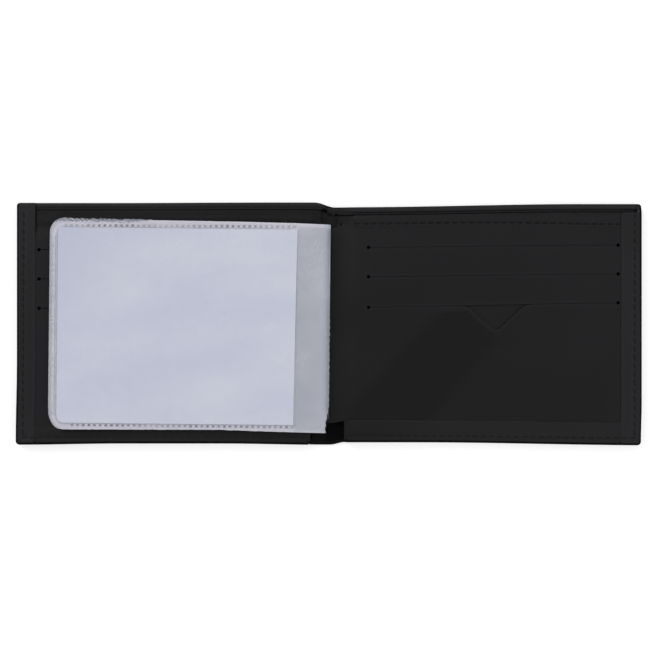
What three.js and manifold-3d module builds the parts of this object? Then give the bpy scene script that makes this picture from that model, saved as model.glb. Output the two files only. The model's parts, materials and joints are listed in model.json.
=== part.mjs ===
// Open bifold wallet in leather, lying flat with its inside up, with a photo insert in its left half.
// Millimetres, +Z up. The origin lies on the table under the middle of the open wallet.
// +X points along the open wallet to its right half, +Y to the mouth of the bill compartment.

import * as THREE from "three";
import { mergeVertices } from "three/addons/utils/BufferGeometryUtils.js";
import Module from "manifold-3d";

const wasm = await Module();
wasm.setup();

// Cover leather
const OPEN_WIDTH = 230;
const HEIGHT = 88.4;
const COVER_THICKNESS = 1;
const SPINE_WIDTH = 12.4; // between the two fold lines
const SPINE_OFFSET = -0.8; // middle of the spine from the middle of the open wallet
const WAIST_DROP = 1.1; // the right half is this much lower at the fold, at its top and at its bottom
const CORNER_RADIUS = 1.4;
const CREASE_GAP = 0.3; // between two pieces that part at a fold line

// Turned edges of the cover
const EDGE_WALL = 0.9;
const EDGE_RADIUS = 0.8;
const HEM_THICKNESS = 0.6;
const END_HEM_WIDTH = 6.8;
const BOTTOM_HEM_WIDTH = 8.1;
const TOP_HEM_WIDTH = 8;
const BOTTOM_HEM_INSET = 0.6; // from the fold line
const MITRE_GAP = 0.3;

// Bill compartment
const LINING_THICKNESS = 0.25;
const BILL_GAP = 0.9;
const WALL_THICKNESS = 0.25;
const BILL_MOUTH_STEP = 3.1; // inner wall below the top edge of the cover
const SPINE_NOTCH_GAP = 1.4; // inner wall at the spine above the bottom hems

// Inner panels
const PANEL_INSET = 1.4; // from the fold line
const PANEL_THICKNESS = 0.6;
const SLIP_POCKET_GAP = 0.4;
const SHEET_THICKNESS = 0.12;
const CARD_GAP = 0.3;
const SHEET_MARGIN = 3.5; // pocket sheet past the ends of its slit
const SHEET_RISE = 4; // pocket sheet above its slit
const POCKET_DEPTH = 44;
const BINDING_WIDTH = 3.4;
const BINDING_THICKNESS = 0.4;

// Card slits, from the top one down
const SLIT_COUNT = 3;
const FIRST_SLIT_DROP = 12.5; // below the top of the slot panel
const SLIT_PITCH = 10.9;
const SLIT_WIDTH = 0.4;
const SLIT_INSET = 8.7; // its first hole from the fold line
const SLIT_MARGIN = 1.2; // its last hole from the end hem
const HOLE_RADIUS = 0.8;
const NOTCH_WIDTH = 21.4;
const NOTCH_DEPTH = 9.8;
const NOTCH_ROUNDING = 2.4;

// Seams
const STITCH_PITCH = 3;
const STITCH_LENGTH = 2.3;
const STITCH_RAMP = 0.25;
const STITCH_MARGIN = 2; // from a turned edge
const THREAD_WIDTH = 0.5;
const THREAD_HEIGHT = 0.2;
const THREAD_DIP = 0.05; // height of the thread between two stitches
const BINDING_STITCH_MARGIN = 2.3;

// Photo insert
const LEAF_COUNT = 4;
const LEAF_WIDTH = 102.6; // from the hinge line to the outer edge of the top leaf
const LEAF_HEIGHT = 77.6;
const LEAF_FAN = 0.3; // each lower leaf reaches this much further out
const LEAF_LIFT = 0.3; // and lies this much further up
const LEAF_CORNER = 4.5;
const GUTTER_WIDTH = 12.4; // from the hinge line to the mouths of the sleeves
const FILM_THICKNESS = 0.15;
const FILM_GAP = 0.05;
const WELD_WIDTH = 2;
const SLIP_THICKNESS = 0.2;
const SLIP_END_PLAY = 0.3; // between the slip and the weld at the closed end of its sleeve
const SLIP_SIDE_PLAY = 0.9; // and at its two sides
const INSERT_DROP = 4.2; // top edge of the top leaf, at its hinge line, below the top of the slot panel
const INSERT_TURN = 1; // degrees, clockwise from above
const TONGUE_WIDTH = 48;
const TONGUE_HEIGHT = 66;
const TONGUE_INSET = 9.9; // from the hinge line
const BAR_WIDTH = 1.2;
const BAR_FOOT = 5.6; // from the hinge line

// Fits
const LAYER_GAP = 0.05; // between layers that lie on each other
const SIDE_GAP = 0.3; // between a layer's edge and what stands beside it

// Heights of the layers
const halfHeight = HEIGHT / 2;
const liningTop = COVER_THICKNESS + LINING_THICKNESS;
const wallBottom = liningTop + BILL_GAP;
const wallTop = wallBottom + WALL_THICKNESS;
const sheetPitch = SHEET_THICKNESS + CARD_GAP;
const firstSheetBottom = wallTop + SLIP_POCKET_GAP;
const panelBottom = firstSheetBottom + SLIT_COUNT * sheetPitch;
const panelTop = panelBottom + PANEL_THICKNESS;
const hemTop = panelTop + LAYER_GAP + HEM_THICKNESS;
const bindingTop = panelTop + LAYER_GAP + BINDING_THICKNESS;
const insertBottom = hemTop + THREAD_HEIGHT + LAYER_GAP;
const leafThickness = 2 * FILM_THICKNESS + SLIP_THICKNESS + 2 * FILM_GAP;
const leafPitch = leafThickness + LAYER_GAP;

// Places along the wallet
const leftFold = SPINE_OFFSET - SPINE_WIDTH / 2;
const rightFold = SPINE_OFFSET + SPINE_WIDTH / 2;
const panelTopY = halfHeight - BILL_MOUTH_STEP;
const panelBottomY = -halfHeight + EDGE_WALL + SIDE_GAP;

const ARC_STEPS = 4;
const ALONG_X = new THREE.Vector3(1, 0, 0);
const ALONG_Y = new THREE.Vector3(0, 1, 0);
const UP = new THREE.Vector3(0, 0, 1);

const looks = {
  leather: { color: 0x222124, roughness: 0.55, metalness: 0 },
  hem: { color: 0x29282b, roughness: 0.5, metalness: 0 },
  lining: { color: 0x131316, roughness: 0.9, metalness: 0 },
  thread: { color: 0x1b1a1d, roughness: 0.8, metalness: 0 },
  film: { color: 0xb4b7c4, roughness: 0.25, metalness: 0 },
  paper: { color: 0xe6e7ee, roughness: 0.8, metalness: 0 },
};

function piece(name, geometry, look) {
  const mesh = new THREE.Mesh(geometry, new THREE.MeshStandardMaterial(looks[look]));
  mesh.name = name;
  return mesh;
}

// Flat layer with an outline in X and Y
function layer(outline, bottom, thickness) {
  const options = { depth: thickness, bevelEnabled: false, curveSegments: ARC_STEPS };
  return new THREE.ExtrudeGeometry(outline, options).translate(0, 0, bottom);
}

function rectangle(left, right, bottom, top) {
  const outline = new THREE.Shape();
  outline.moveTo(left, bottom);
  outline.lineTo(right, bottom);
  outline.lineTo(right, top);
  outline.lineTo(left, top);
  outline.closePath();
  return outline;
}

// Strip of one section along a straight edge: across points over the strip, start is where it begins
function strip(section, length, across, start) {
  const along = new THREE.Vector3().crossVectors(across, UP);
  const place = new THREE.Matrix4().makeBasis(across, UP, along).setPosition(start);
  const options = { depth: length, bevelEnabled: false, curveSegments: ARC_STEPS };
  return new THREE.ExtrudeGeometry(section, options).applyMatrix4(place);
}

function polygon(points) {
  return new THREE.Shape(points.map(([x, y]) => new THREE.Vector2(x, y)));
}

function toSolid(geometry) {
  const plain = geometry.clone();
  plain.deleteAttribute("normal");
  plain.deleteAttribute("uv");
  const merged = mergeVertices(plain, 1e-4);
  const mesh = new wasm.Mesh({
    numProp: 3,
    vertProperties: new Float32Array(merged.attributes.position.array),
    triVerts: new Uint32Array(merged.index.array),
  });
  return new wasm.Manifold(mesh);
}

function toGeometry(solid) {
  const mesh = solid.getMesh();
  const geometry = new THREE.BufferGeometry();
  geometry.setAttribute("position", new THREE.BufferAttribute(mesh.vertProperties, 3));
  geometry.setIndex(new THREE.BufferAttribute(mesh.triVerts, 1));
  return geometry.toNonIndexed();
}

// Leather turned over an edge: a rounded wall at the edge and a lip that lies on the inside
function hemSection(width, lipBottom, top) {
  const section = new THREE.Shape();
  section.moveTo(EDGE_WALL, 0);
  section.lineTo(EDGE_WALL, lipBottom);
  section.lineTo(width, lipBottom);
  section.lineTo(width, top);
  section.lineTo(EDGE_RADIUS, top);
  section.absarc(EDGE_RADIUS, top - EDGE_RADIUS, EDGE_RADIUS, Math.PI / 2, Math.PI, false);
  section.lineTo(0, EDGE_RADIUS);
  section.absarc(EDGE_RADIUS, EDGE_RADIUS, EDGE_RADIUS, Math.PI, 1.5 * Math.PI, false);
  section.closePath();
  return section;
}

// Outline of one half of the cover, with its two outer corners rounded
function halfOutline(length) {
  const outline = new THREE.Shape();
  outline.moveTo(0, -halfHeight);
  outline.lineTo(length - CORNER_RADIUS, -halfHeight);
  outline.absarc(length - CORNER_RADIUS, CORNER_RADIUS - halfHeight, CORNER_RADIUS, -Math.PI / 2, 0, false);
  outline.lineTo(length, halfHeight - CORNER_RADIUS);
  outline.absarc(length - CORNER_RADIUS, halfHeight - CORNER_RADIUS, CORNER_RADIUS, 0, Math.PI / 2, false);
  outline.lineTo(0, halfHeight);
  outline.closePath();
  return outline;
}

// The end hem and the bottom hem meet on a line from the outer corner to the inner corner of both
function mitreCutter(length, forEndHem) {
  const across = new THREE.Vector2(BOTTOM_HEM_WIDTH, END_HEM_WIDTH).normalize();
  const shift = forEndHem ? MITRE_GAP / 2 : -MITRE_GAP / 2;
  const corner = [length + END_HEM_WIDTH / 2, -halfHeight - BOTTOM_HEM_WIDTH / 2];
  const inner = [length - 1.5 * END_HEM_WIDTH, -halfHeight + 1.5 * BOTTOM_HEM_WIDTH];
  const third = forEndHem ? [inner[0], corner[1]] : [corner[0], inner[1]];
  const outline = polygon([corner, inner, third]);
  return layer(outline, -1, hemTop + 2).translate(across.x * shift, across.y * shift, 0);
}

// Sewn seam: stitches in a row, joined by the thread where it dips into the leather
function seamSection(length) {
  const count = Math.floor(length / STITCH_PITCH);
  const points = [[0, 0]];
  const low = (STITCH_PITCH - STITCH_LENGTH) / 2;
  const high = low + STITCH_RAMP;
  for (let i = 0; i < count; i++) {
    const start = i * STITCH_PITCH;
    const end = start + STITCH_PITCH;
    points.push([start + low, THREAD_DIP]);
    points.push([start + high, THREAD_HEIGHT]);
    points.push([end - high, THREAD_HEIGHT]);
    points.push([end - low, THREAD_DIP]);
  }
  points.push([count * STITCH_PITCH, 0]);
  return polygon(points);
}

// Card slit with a punched hole at each end and, on the lowest one, a thumb notch in its lower lip
function slitPath(first, last, y, notched) {
  const half = SLIT_WIDTH / 2;
  const angle = Math.asin(half / HOLE_RADIUS);
  const path = new THREE.Path();
  path.absarc(first, y, HOLE_RADIUS, angle, 2 * Math.PI - angle, false);
  if (notched) {
    const middle = (first + last) / 2;
    const side = new THREE.Vector2(NOTCH_WIDTH / 2, NOTCH_DEPTH).setLength(NOTCH_ROUNDING);
    const lip = y - half;
    const left = middle - NOTCH_WIDTH / 2;
    const right = middle + NOTCH_WIDTH / 2;
    path.lineTo(left - NOTCH_ROUNDING, lip);
    path.quadraticCurveTo(left, lip, left + side.x, lip - side.y);
    path.lineTo(middle - side.x, lip - NOTCH_DEPTH + side.y);
    path.quadraticCurveTo(middle, lip - NOTCH_DEPTH, middle + side.x, lip - NOTCH_DEPTH + side.y);
    path.lineTo(right - side.x, lip - side.y);
    path.quadraticCurveTo(right, lip, right + NOTCH_ROUNDING, lip);
  }
  path.absarc(last, y, HOLE_RADIUS, Math.PI + angle, 3 * Math.PI - angle, false);
  path.closePath();
  return path;
}

// One half of the wallet, laid out from its fold line (x = 0) to its outer end
function half(name, length, waistDrop) {
  const group = new THREE.Group();
  const add = (part, geometry, look) => {
    const positions = geometry.attributes.position;
    for (let i = 0; i < positions.count; i++) {
      const drop = (waistDrop / halfHeight) * (1 - positions.getX(i) / length);
      positions.setY(i, positions.getY(i) * (1 - drop));
    }
    geometry.computeVertexNormals();
    group.add(piece(`${name}_${part}`, geometry, look));
  };
  const innerEnd = length - EDGE_WALL;
  const start = CREASE_GAP / 2;

  // Cover with the lining of the bill compartment
  const coverOutline = rectangle(start, innerEnd, EDGE_WALL - halfHeight, halfHeight - EDGE_WALL);
  add("cover", layer(coverOutline, 0, COVER_THICKNESS), "leather");
  const liningTopY = halfHeight - TOP_HEM_WIDTH - SIDE_GAP;
  const liningOutline = rectangle(start, innerEnd - SIDE_GAP, panelBottomY, liningTopY);
  add("bill_lining", layer(liningOutline, COVER_THICKNESS, LINING_THICKNESS), "lining");

  // Hems, cut to each other at the bottom corner and rounded at the outer corners
  const plan = toSolid(layer(halfOutline(length), -1, hemTop + 2));
  const sideSection = (width) => hemSection(width, panelTop + LAYER_GAP, hemTop);
  const endStart = new THREE.Vector3(length, -halfHeight, 0);
  const endStrip = strip(sideSection(END_HEM_WIDTH), HEIGHT, ALONG_X.clone().negate(), endStart);
  const endHem = toSolid(endStrip).intersect(plan).subtract(toSolid(mitreCutter(length, true)));
  add("end_hem", toGeometry(endHem), "hem");
  const bottomStart = new THREE.Vector3(BOTTOM_HEM_INSET, -halfHeight, 0);
  const bottomLength = length - BOTTOM_HEM_INSET;
  const bottomStrip = strip(sideSection(BOTTOM_HEM_WIDTH), bottomLength, ALONG_Y, bottomStart);
  const bottomHem = toSolid(bottomStrip).intersect(plan).subtract(toSolid(mitreCutter(length, false)));
  add("bottom_hem", toGeometry(bottomHem), "hem");
  const topSection = hemSection(TOP_HEM_WIDTH, COVER_THICKNESS, COVER_THICKNESS + HEM_THICKNESS);
  const topEnd = innerEnd - SIDE_GAP;
  const topStart = new THREE.Vector3(topEnd, halfHeight, 0);
  add("top_hem", strip(topSection, topEnd - PANEL_INSET, ALONG_Y.clone().negate(), topStart), "hem");

  // Inner wall of the bill compartment and the slot panel over it
  const panelEnd = innerEnd - SIDE_GAP;
  const wallOutline = rectangle(PANEL_INSET, panelEnd, panelBottomY, panelTopY);
  add("inner_wall", layer(wallOutline, wallBottom, WALL_THICKNESS), "lining");
  const panelOutline = rectangle(PANEL_INSET, panelEnd, panelBottomY, panelTopY);
  const slitEnd = length - END_HEM_WIDTH - SLIT_MARGIN;
  for (let row = 0; row < SLIT_COUNT; row++) {
    const y = panelTopY - FIRST_SLIT_DROP - row * SLIT_PITCH;
    panelOutline.holes.push(slitPath(SLIT_INSET, slitEnd, y, row === SLIT_COUNT - 1));
    const sheetStart = SLIT_INSET - SHEET_MARGIN;
    const sheetEnd = slitEnd + SHEET_MARGIN;
    const sheetOutline = rectangle(sheetStart, sheetEnd, y - POCKET_DEPTH, y + SHEET_RISE);
    const sheet = layer(sheetOutline, firstSheetBottom + row * sheetPitch, SHEET_THICKNESS);
    add(`pocket_sheet_${row + 1}`, sheet, "lining");
  }
  add("slot_panel", layer(panelOutline, panelBottom, PANEL_THICKNESS), "leather");

  // Binding folded over the top edges of the inner wall and the slot panel
  const bindingEnd = length - END_HEM_WIDTH - SIDE_GAP;
  const backFace = wallBottom - LAYER_GAP;
  const frontFace = panelTop + LAYER_GAP;
  const bindingLow = panelTopY - BINDING_WIDTH;
  const bindingInside = panelTopY + LAYER_GAP;
  const bindingOutside = bindingInside + BINDING_THICKNESS;
  const bindingSection = polygon([
    [bindingLow, backFace - BINDING_THICKNESS],
    [bindingOutside, backFace - BINDING_THICKNESS],
    [bindingOutside, bindingTop],
    [bindingLow, bindingTop],
    [bindingLow, frontFace],
    [bindingInside, frontFace],
    [bindingInside, backFace],
    [bindingLow, backFace],
  ]);
  const bindingStart = new THREE.Vector3(PANEL_INSET, 0, 0);
  add("top_binding", strip(bindingSection, bindingEnd - PANEL_INSET, ALONG_Y, bindingStart), "leather");

  // Seams on the two hems and on the binding
  const seamStart = PANEL_INSET + 1;
  const upSeam = strip(
    seamSection(HEIGHT - 3 * STITCH_MARGIN),
    THREAD_WIDTH,
    ALONG_Y,
    new THREE.Vector3(length - STITCH_MARGIN - THREAD_WIDTH / 2, 2 * STITCH_MARGIN - halfHeight, hemTop),
  );
  add("end_seam", upSeam, "thread");
  const acrossSeam = strip(
    seamSection(length - STITCH_MARGIN - seamStart),
    THREAD_WIDTH,
    ALONG_X,
    new THREE.Vector3(seamStart, STITCH_MARGIN + THREAD_WIDTH / 2 - halfHeight, hemTop),
  );
  add("bottom_seam", acrossSeam, "thread");
  const bindingSeam = strip(
    seamSection(bindingEnd - seamStart),
    THREAD_WIDTH,
    ALONG_X,
    new THREE.Vector3(seamStart, panelTopY - BINDING_STITCH_MARGIN + THREAD_WIDTH / 2, bindingTop),
  );
  add("top_seam", bindingSeam, "thread");
  return group;
}

// Spine between the two fold lines: its top and bottom edges run from the left half's to the right half's
function spine() {
  const group = new THREE.Group();
  const left = leftFold + CREASE_GAP / 2;
  const right = rightFold - CREASE_GAP / 2;
  const bend = left + 0.55 * (right - left);
  const outline = (leftBottom, leftTop, rightBottom, rightTop) => {
    const shape = new THREE.Shape();
    shape.moveTo(left, leftBottom);
    shape.bezierCurveTo(bend, leftBottom, bend, rightBottom, right, rightBottom);
    shape.lineTo(right, rightTop);
    shape.bezierCurveTo(bend, rightTop, bend, leftTop, left, leftTop);
    shape.closePath();
    return shape;
  };
  const inset = (y) => y * (1 - WAIST_DROP / halfHeight);
  const cover = outline(-halfHeight, halfHeight, inset(-halfHeight), inset(halfHeight));
  group.add(piece("spine_cover", layer(cover, 0, COVER_THICKNESS), "leather"));
  const liningLow = panelBottomY;
  const liningHigh = halfHeight - EDGE_WALL - SIDE_GAP;
  const lining = outline(liningLow, liningHigh, inset(liningLow), inset(liningHigh));
  group.add(piece("spine_bill_lining", layer(lining, COVER_THICKNESS, LINING_THICKNESS), "lining"));
  const wallLow = BOTTOM_HEM_WIDTH + SPINE_NOTCH_GAP - halfHeight;
  const wall = outline(wallLow, panelTopY, inset(wallLow), inset(panelTopY));
  group.add(piece("spine_inner_wall", layer(wall, wallBottom, WALL_THICKNESS), "leather"));
  return group;
}

// Outline of a leaf's sleeve, or of the weld that closes it on three sides
function sleeveOutline(width, weldOnly) {
  const high = LEAF_HEIGHT / 2;
  const shape = new THREE.Shape();
  shape.moveTo(-GUTTER_WIDTH, high);
  shape.lineTo(LEAF_CORNER - width, high);
  shape.absarc(LEAF_CORNER - width, high - LEAF_CORNER, LEAF_CORNER, Math.PI / 2, Math.PI, false);
  shape.lineTo(-width, LEAF_CORNER - high);
  shape.absarc(LEAF_CORNER - width, LEAF_CORNER - high, LEAF_CORNER, Math.PI, 1.5 * Math.PI, false);
  shape.lineTo(-GUTTER_WIDTH, -high);
  if (weldOnly) {
    shape.lineTo(-GUTTER_WIDTH, WELD_WIDTH - high);
    shape.lineTo(WELD_WIDTH - width, WELD_WIDTH - high);
    shape.lineTo(WELD_WIDTH - width, high - WELD_WIDTH);
    shape.lineTo(-GUTTER_WIDTH, high - WELD_WIDTH);
  }
  shape.closePath();
  return shape;
}

// Insert, laid out from the hinge line of its leaves (x = 0)
function insert() {
  const group = new THREE.Group();
  for (let leaf = 1; leaf <= LEAF_COUNT; leaf++) {
    const below = LEAF_COUNT - leaf;
    const width = LEAF_WIDTH + below * LEAF_FAN;
    const lift = below * LEAF_LIFT;
    const bottom = insertBottom + (leaf - 1) * leafPitch;
    const slipBottom = bottom + FILM_THICKNESS + FILM_GAP;
    const frontBottom = slipBottom + SLIP_THICKNESS + FILM_GAP;
    const weldHeight = frontBottom - bottom - FILM_THICKNESS;
    const back = layer(sleeveOutline(width, false), bottom, FILM_THICKNESS);
    const front = toSolid(layer(sleeveOutline(width, false), frontBottom, FILM_THICKNESS));
    const weld = toSolid(layer(sleeveOutline(width, true), bottom + FILM_THICKNESS, weldHeight));
    const high = LEAF_HEIGHT / 2;
    const gutter = layer(rectangle(-GUTTER_WIDTH, -BAR_WIDTH / 2, -high, high), bottom, FILM_THICKNESS);
    const slipLeft = WELD_WIDTH + SLIP_END_PLAY - LEAF_WIDTH;
    const slipHigh = high - WELD_WIDTH - SLIP_SIDE_PLAY;
    const slipOutline = rectangle(slipLeft, -GUTTER_WIDTH, -slipHigh, slipHigh);
    const slip = layer(slipOutline, slipBottom, SLIP_THICKNESS);
    const pieces = [
      piece(`leaf_${leaf}_back_film`, back, "film"),
      piece(`leaf_${leaf}_front_film`, toGeometry(front.add(weld)), "film"),
      piece(`leaf_${leaf}_gutter`, gutter, "film"),
      piece(`photo_slip_${leaf}`, slip, "paper"),
    ];
    for (const mesh of pieces) {
      mesh.geometry.translate(0, lift, 0);
      mesh.geometry.computeVertexNormals();
      group.add(mesh);
    }
  }

  // Tongue in the slip pocket, and the welded bar on the spine that the leaves hinge on
  const tongueHigh = TONGUE_HEIGHT / 2;
  const tongueRight = -TONGUE_INSET;
  const tongueOutline = rectangle(tongueRight - TONGUE_WIDTH, tongueRight, -tongueHigh, tongueHigh);
  const tongueBottom = wallTop + (SLIP_POCKET_GAP - FILM_THICKNESS) / 2;
  group.add(piece("insert_tongue", layer(tongueOutline, tongueBottom, FILM_THICKNESS), "film"));
  const footBottom = wallTop + LAYER_GAP;
  const barHalf = BAR_WIDTH / 2;
  const barSection = polygon([
    [-BAR_FOOT, footBottom],
    [barHalf, footBottom],
    [barHalf, insertBottom - LAYER_GAP],
    [-barHalf, insertBottom - LAYER_GAP],
    [-barHalf, footBottom + FILM_THICKNESS],
    [-BAR_FOOT, footBottom + FILM_THICKNESS],
  ]);
  const barStart = new THREE.Vector3(0, tongueHigh, 0);
  group.add(piece("insert_bar", strip(barSection, TONGUE_HEIGHT, ALONG_X, barStart), "film"));
  return group;
}

const wallet = new THREE.Group();
wallet.name = "wallet";

const leftHalf = half("left", OPEN_WIDTH / 2 + leftFold, 0);
leftHalf.position.x = leftFold;
leftHalf.scale.x = -1;
wallet.add(leftHalf);

const rightHalf = half("right", OPEN_WIDTH / 2 - rightFold, WAIST_DROP);
rightHalf.position.x = rightFold;
wallet.add(rightHalf);

wallet.add(spine());

const photoInsert = insert();
photoInsert.position.y = panelTopY - INSERT_DROP - LEAF_HEIGHT / 2;
photoInsert.rotation.z = -THREE.MathUtils.degToRad(INSERT_TURN);
wallet.add(photoInsert);

export default wallet;
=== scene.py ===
"""Looks of an open bifold wallet in black leather, lying inside up, with a photo insert in its left half.

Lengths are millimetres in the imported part's frame, and become metres where a mesh is made.
On a half of the wallet, u runs from its fold line out to its end, and y from the bottom edge up to
the mouth of the bill compartment. On the insert, x and y start at the middle of its hinge line.
"""

import json
import math

import bpy
import numpy as np
from mathutils import Matrix, Vector
from mathutils.geometry import delaunay_2d_cdt


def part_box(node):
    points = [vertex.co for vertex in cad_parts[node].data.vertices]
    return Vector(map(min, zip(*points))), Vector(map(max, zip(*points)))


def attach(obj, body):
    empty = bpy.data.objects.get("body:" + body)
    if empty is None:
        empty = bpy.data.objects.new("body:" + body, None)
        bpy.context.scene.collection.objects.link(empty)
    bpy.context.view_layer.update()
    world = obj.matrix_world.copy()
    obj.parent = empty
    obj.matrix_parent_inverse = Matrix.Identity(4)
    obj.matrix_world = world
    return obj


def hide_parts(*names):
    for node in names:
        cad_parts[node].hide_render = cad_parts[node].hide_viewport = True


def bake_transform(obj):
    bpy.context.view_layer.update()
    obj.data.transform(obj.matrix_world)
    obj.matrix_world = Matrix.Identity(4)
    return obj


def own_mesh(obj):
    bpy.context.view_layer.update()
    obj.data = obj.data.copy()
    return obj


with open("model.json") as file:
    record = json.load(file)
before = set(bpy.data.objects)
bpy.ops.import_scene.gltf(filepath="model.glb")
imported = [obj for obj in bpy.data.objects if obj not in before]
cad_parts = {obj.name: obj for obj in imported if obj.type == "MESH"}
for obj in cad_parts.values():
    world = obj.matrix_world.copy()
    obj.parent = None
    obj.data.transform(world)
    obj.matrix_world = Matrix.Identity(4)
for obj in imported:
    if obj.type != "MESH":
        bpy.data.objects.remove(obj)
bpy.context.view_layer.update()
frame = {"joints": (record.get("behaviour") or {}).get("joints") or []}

MM = 0.001


def reach(node):
    """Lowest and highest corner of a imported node, in millimetres."""
    low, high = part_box(node)
    return np.array(low) / MM, np.array(high) / MM


# Places and heights taken from the frame
joint_place = {joint["name"]: np.array(joint.get("pos_m", (0, 0, 0))) / MM for joint in frame["joints"]}
LEFT_FOLD = joint_place["spine_fold"][0]
RIGHT_FOLD = joint_place["cover_fold"][0]
SPINE_MIDDLE = (LEFT_FOLD + RIGHT_FOLD) / 2
HALF_HEIGHT = reach("left_end_hem")[1][1]
COVER_TOP = reach("left_cover")[1][2]
HEM_TOP = reach("left_end_hem")[1][2]
TOP_HEM_LOW = reach("left_top_hem")[0][1]
TOP_HEM_TOP = reach("left_top_hem")[1][2]
PANEL_LOW, PANEL_HIGH = reach("left_slot_panel")
BINDING_LOW, BINDING_HIGH = reach("left_top_binding")
WALL_LOW, WALL_HIGH = reach("left_inner_wall")
LINING_LOW, LINING_HIGH = reach("left_bill_lining")
SPINE_WALL_LOW, SPINE_WALL_HIGH = reach("spine_inner_wall")
HINGE = joint_place["leaf_1_turn"]

# Cover and its turned edges; a roll is its width and its drop, a groove or crease its width and its depth
CORNER_RADIUS = 1.4
EDGE_WALL = 0.9
END_HEM_WIDTH = {"left": 6.9, "right": 7.7}
BOTTOM_HEM_WIDTH = 8.4
BOTTOM_HEM_START = 0.6
HEM_THICKNESS = 0.6
HEM_ROLL = (1.1, 1.7)
HEM_SKIVE = 0.38
LIP_ROLL = (0.12, 0.12)
JOINT_ROLL = (0.05, 0.05)
HEM_END_DROP = 3.2
HEM_END_START = 0.15
HEM_END_RUN = 1.3
HEM_END_GAP = 0.05
COVER_ROLL = (0.8, 0.8)
BEAD_COVERED = {"left": END_HEM_WIDTH["left"], "right": 1.7}
BEAD_UNDER = 0.5
BEAD_WIDTH = {"left": 1.2, "right": 1.6}
BEAD_FALL = 0.8
BEAD_TOP = 3.5
BEAD_ROLL = (0.9, 1.1)
MOUTH_WIDTH = {"left": 2.5, "right": 2.8}
MOUTH_FLOOR = {"left": 3.3, "right": 3.0}
MOUTH_STEP = 0.1
TOP_HEM_STEP = 0.4
SPINE_HEM_TOP = 2.3
SPINE_HEM_STEP = 0.3
SPINE_HEM_ROLL = (0.9, 1.0)
CREASE = (0.7, 0.1)
PAST_SPINE = 10

# Nick in the bottom edge beside the spine: its middle, half its width and its depth
NICK = (0.9, 0.7, 0.5)

# Stretch of u at a fold, from its spine end to its half end, for the cover and the inner leathers
COVER_BEND = (-2.5, 0.5)
INNER_BEND = (-3, 2.5)

# Outline as the wallet lies: a height, and rises (mm, from x, to x) along the edge
TOP_EDGE = (44.58, ((0.2, -80, -20), (-1.85, -5.2, 2.0), (0.12, 1, 12), (1.15, 8, 93)))
BOTTOM_EDGE = (44.02, ((0.42, -77, -112), (0.5, -40, 0), (-0.94, 0.5, 5.5), (1.12, 32, 122)))

# How far the bottom corners stand out of square, and from which depth to which
LEFT_SPLAY = (-0.45, 12, 44)
RIGHT_SPLAY = (-0.3, 28, 44)

# Stitches
STITCH_PITCH = 3.0
STITCH_LENGTH = 2.5
STITCH_SLANT = 7
STITCH_LOOSE = 0.12
LOOSE_SHRINK = 0.9
BEAD_SIDES = 8
BEAD_RINGS = 5
THREAD_WIDTH = 0.55
THREAD_HEIGHT = 0.4
THREAD_PROUD = {"hem": 0.1, "binding": 0.06, "outside": 0.02}
STITCH_MARGIN = 2.7
STITCH_GROOVE = (0.8, 0.2)
END_SEAM_START = 2
BOTTOM_SEAM_START = 2.4
BOTTOM_SEAM_GAP = 0.6
TOP_SEAM_START = 1.5
TOP_SEAM_GAP = 1
BINDING_STITCH_Y = {"left": 37.3, "right": 37.8}
BINDING_STITCH_SAG = {"left": 0.0, "right": 1.1}
BINDING_STITCH_RUN = (40, 100)

# Slot panels
PANEL_ROLL = (0.1, 0.1)
PANEL_END_GAP = 0.3
PANEL_REACH = {"left": 4.0, "right": 6.5}
PANEL_TOP_REACH = {"left": 4.0, "right": 2.4}
SPINE_CUT_Y = -36.2
SHOULDER = (37.0, 35.0)
SEAM_HOLE = (-1.1, 37.7)
SEAM_HOLE_RADIUS = 0.42
TOP_SINK = {"left": 1.2, "right": 0.0}
TOP_SINK_RUN = (31, 37)
PANEL_DIP = 1.35
DIP_START = 6.5
DIP_RUN = 8.5
DIP_EASED = 0.5
SLIT_ROWS = 3
LOWEST_SLIT = SLIT_ROWS - 1
SLIT_WIDTH = {"left": 0.12, "right": 0.04}
HOLE_RADIUS = 0.62
SLIT_ENDS = {"left": (8.7, 99.75), "right": (9.0, 100.8)}
SLIT_HEIGHTS = {
    "left": ((27.3, 27.1), (16.6, 16.4), (5.8, 5.7)),
    "right": ((28.9, 29.0), (17.8, 18.4), (6.3, 7.8)),
}
NOTCH_MIDDLE = {"left": 54.4, "right": 55.9}
NOTCH_WIDTH = 21.4
NOTCH_DEPTH = 9.8
NOTCH_ROUNDING = 2.4
FACING_MARGIN = 3
FACING_DEPTH = 5
FACING_GAP = 0.05
FACING_THICKNESS = 0.2
LIP_RAISE = 0.14
LIP_FADE = 2.2
LIP_TAPER = 12
PANEL_SAG = 0.16
PANEL_SAG_LENGTH = 46
HELD_RIM = 8
FREE_RUN = 8
SPINE_LEATHER_SINK = (0.15, 0.35)

# Binding
BINDING_REACH = {"left": 4.0, "right": -3.4}
BINDING_ROLL = 0.7
BINDING_FRONT_ROLL = {"left": (0.6, 0.8), "right": (1.1, 1.5)}
BINDING_FRONT_GAP = 0.1
BINDING_GROOVE = {"left": (0.45, 0.1), "right": (0.45, 0.32)}
BINDING_DROP = {"left": 0.0, "right": 0.35}
BINDING_MARGIN = 1.25
BINDING_PARED = 0.08
BINDING_PARED_START = 0.15
BINDING_PARED_RUN = 1.1
BINDING_STRIP = 0.4
BINDING_END_GAP = 0.3
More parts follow.
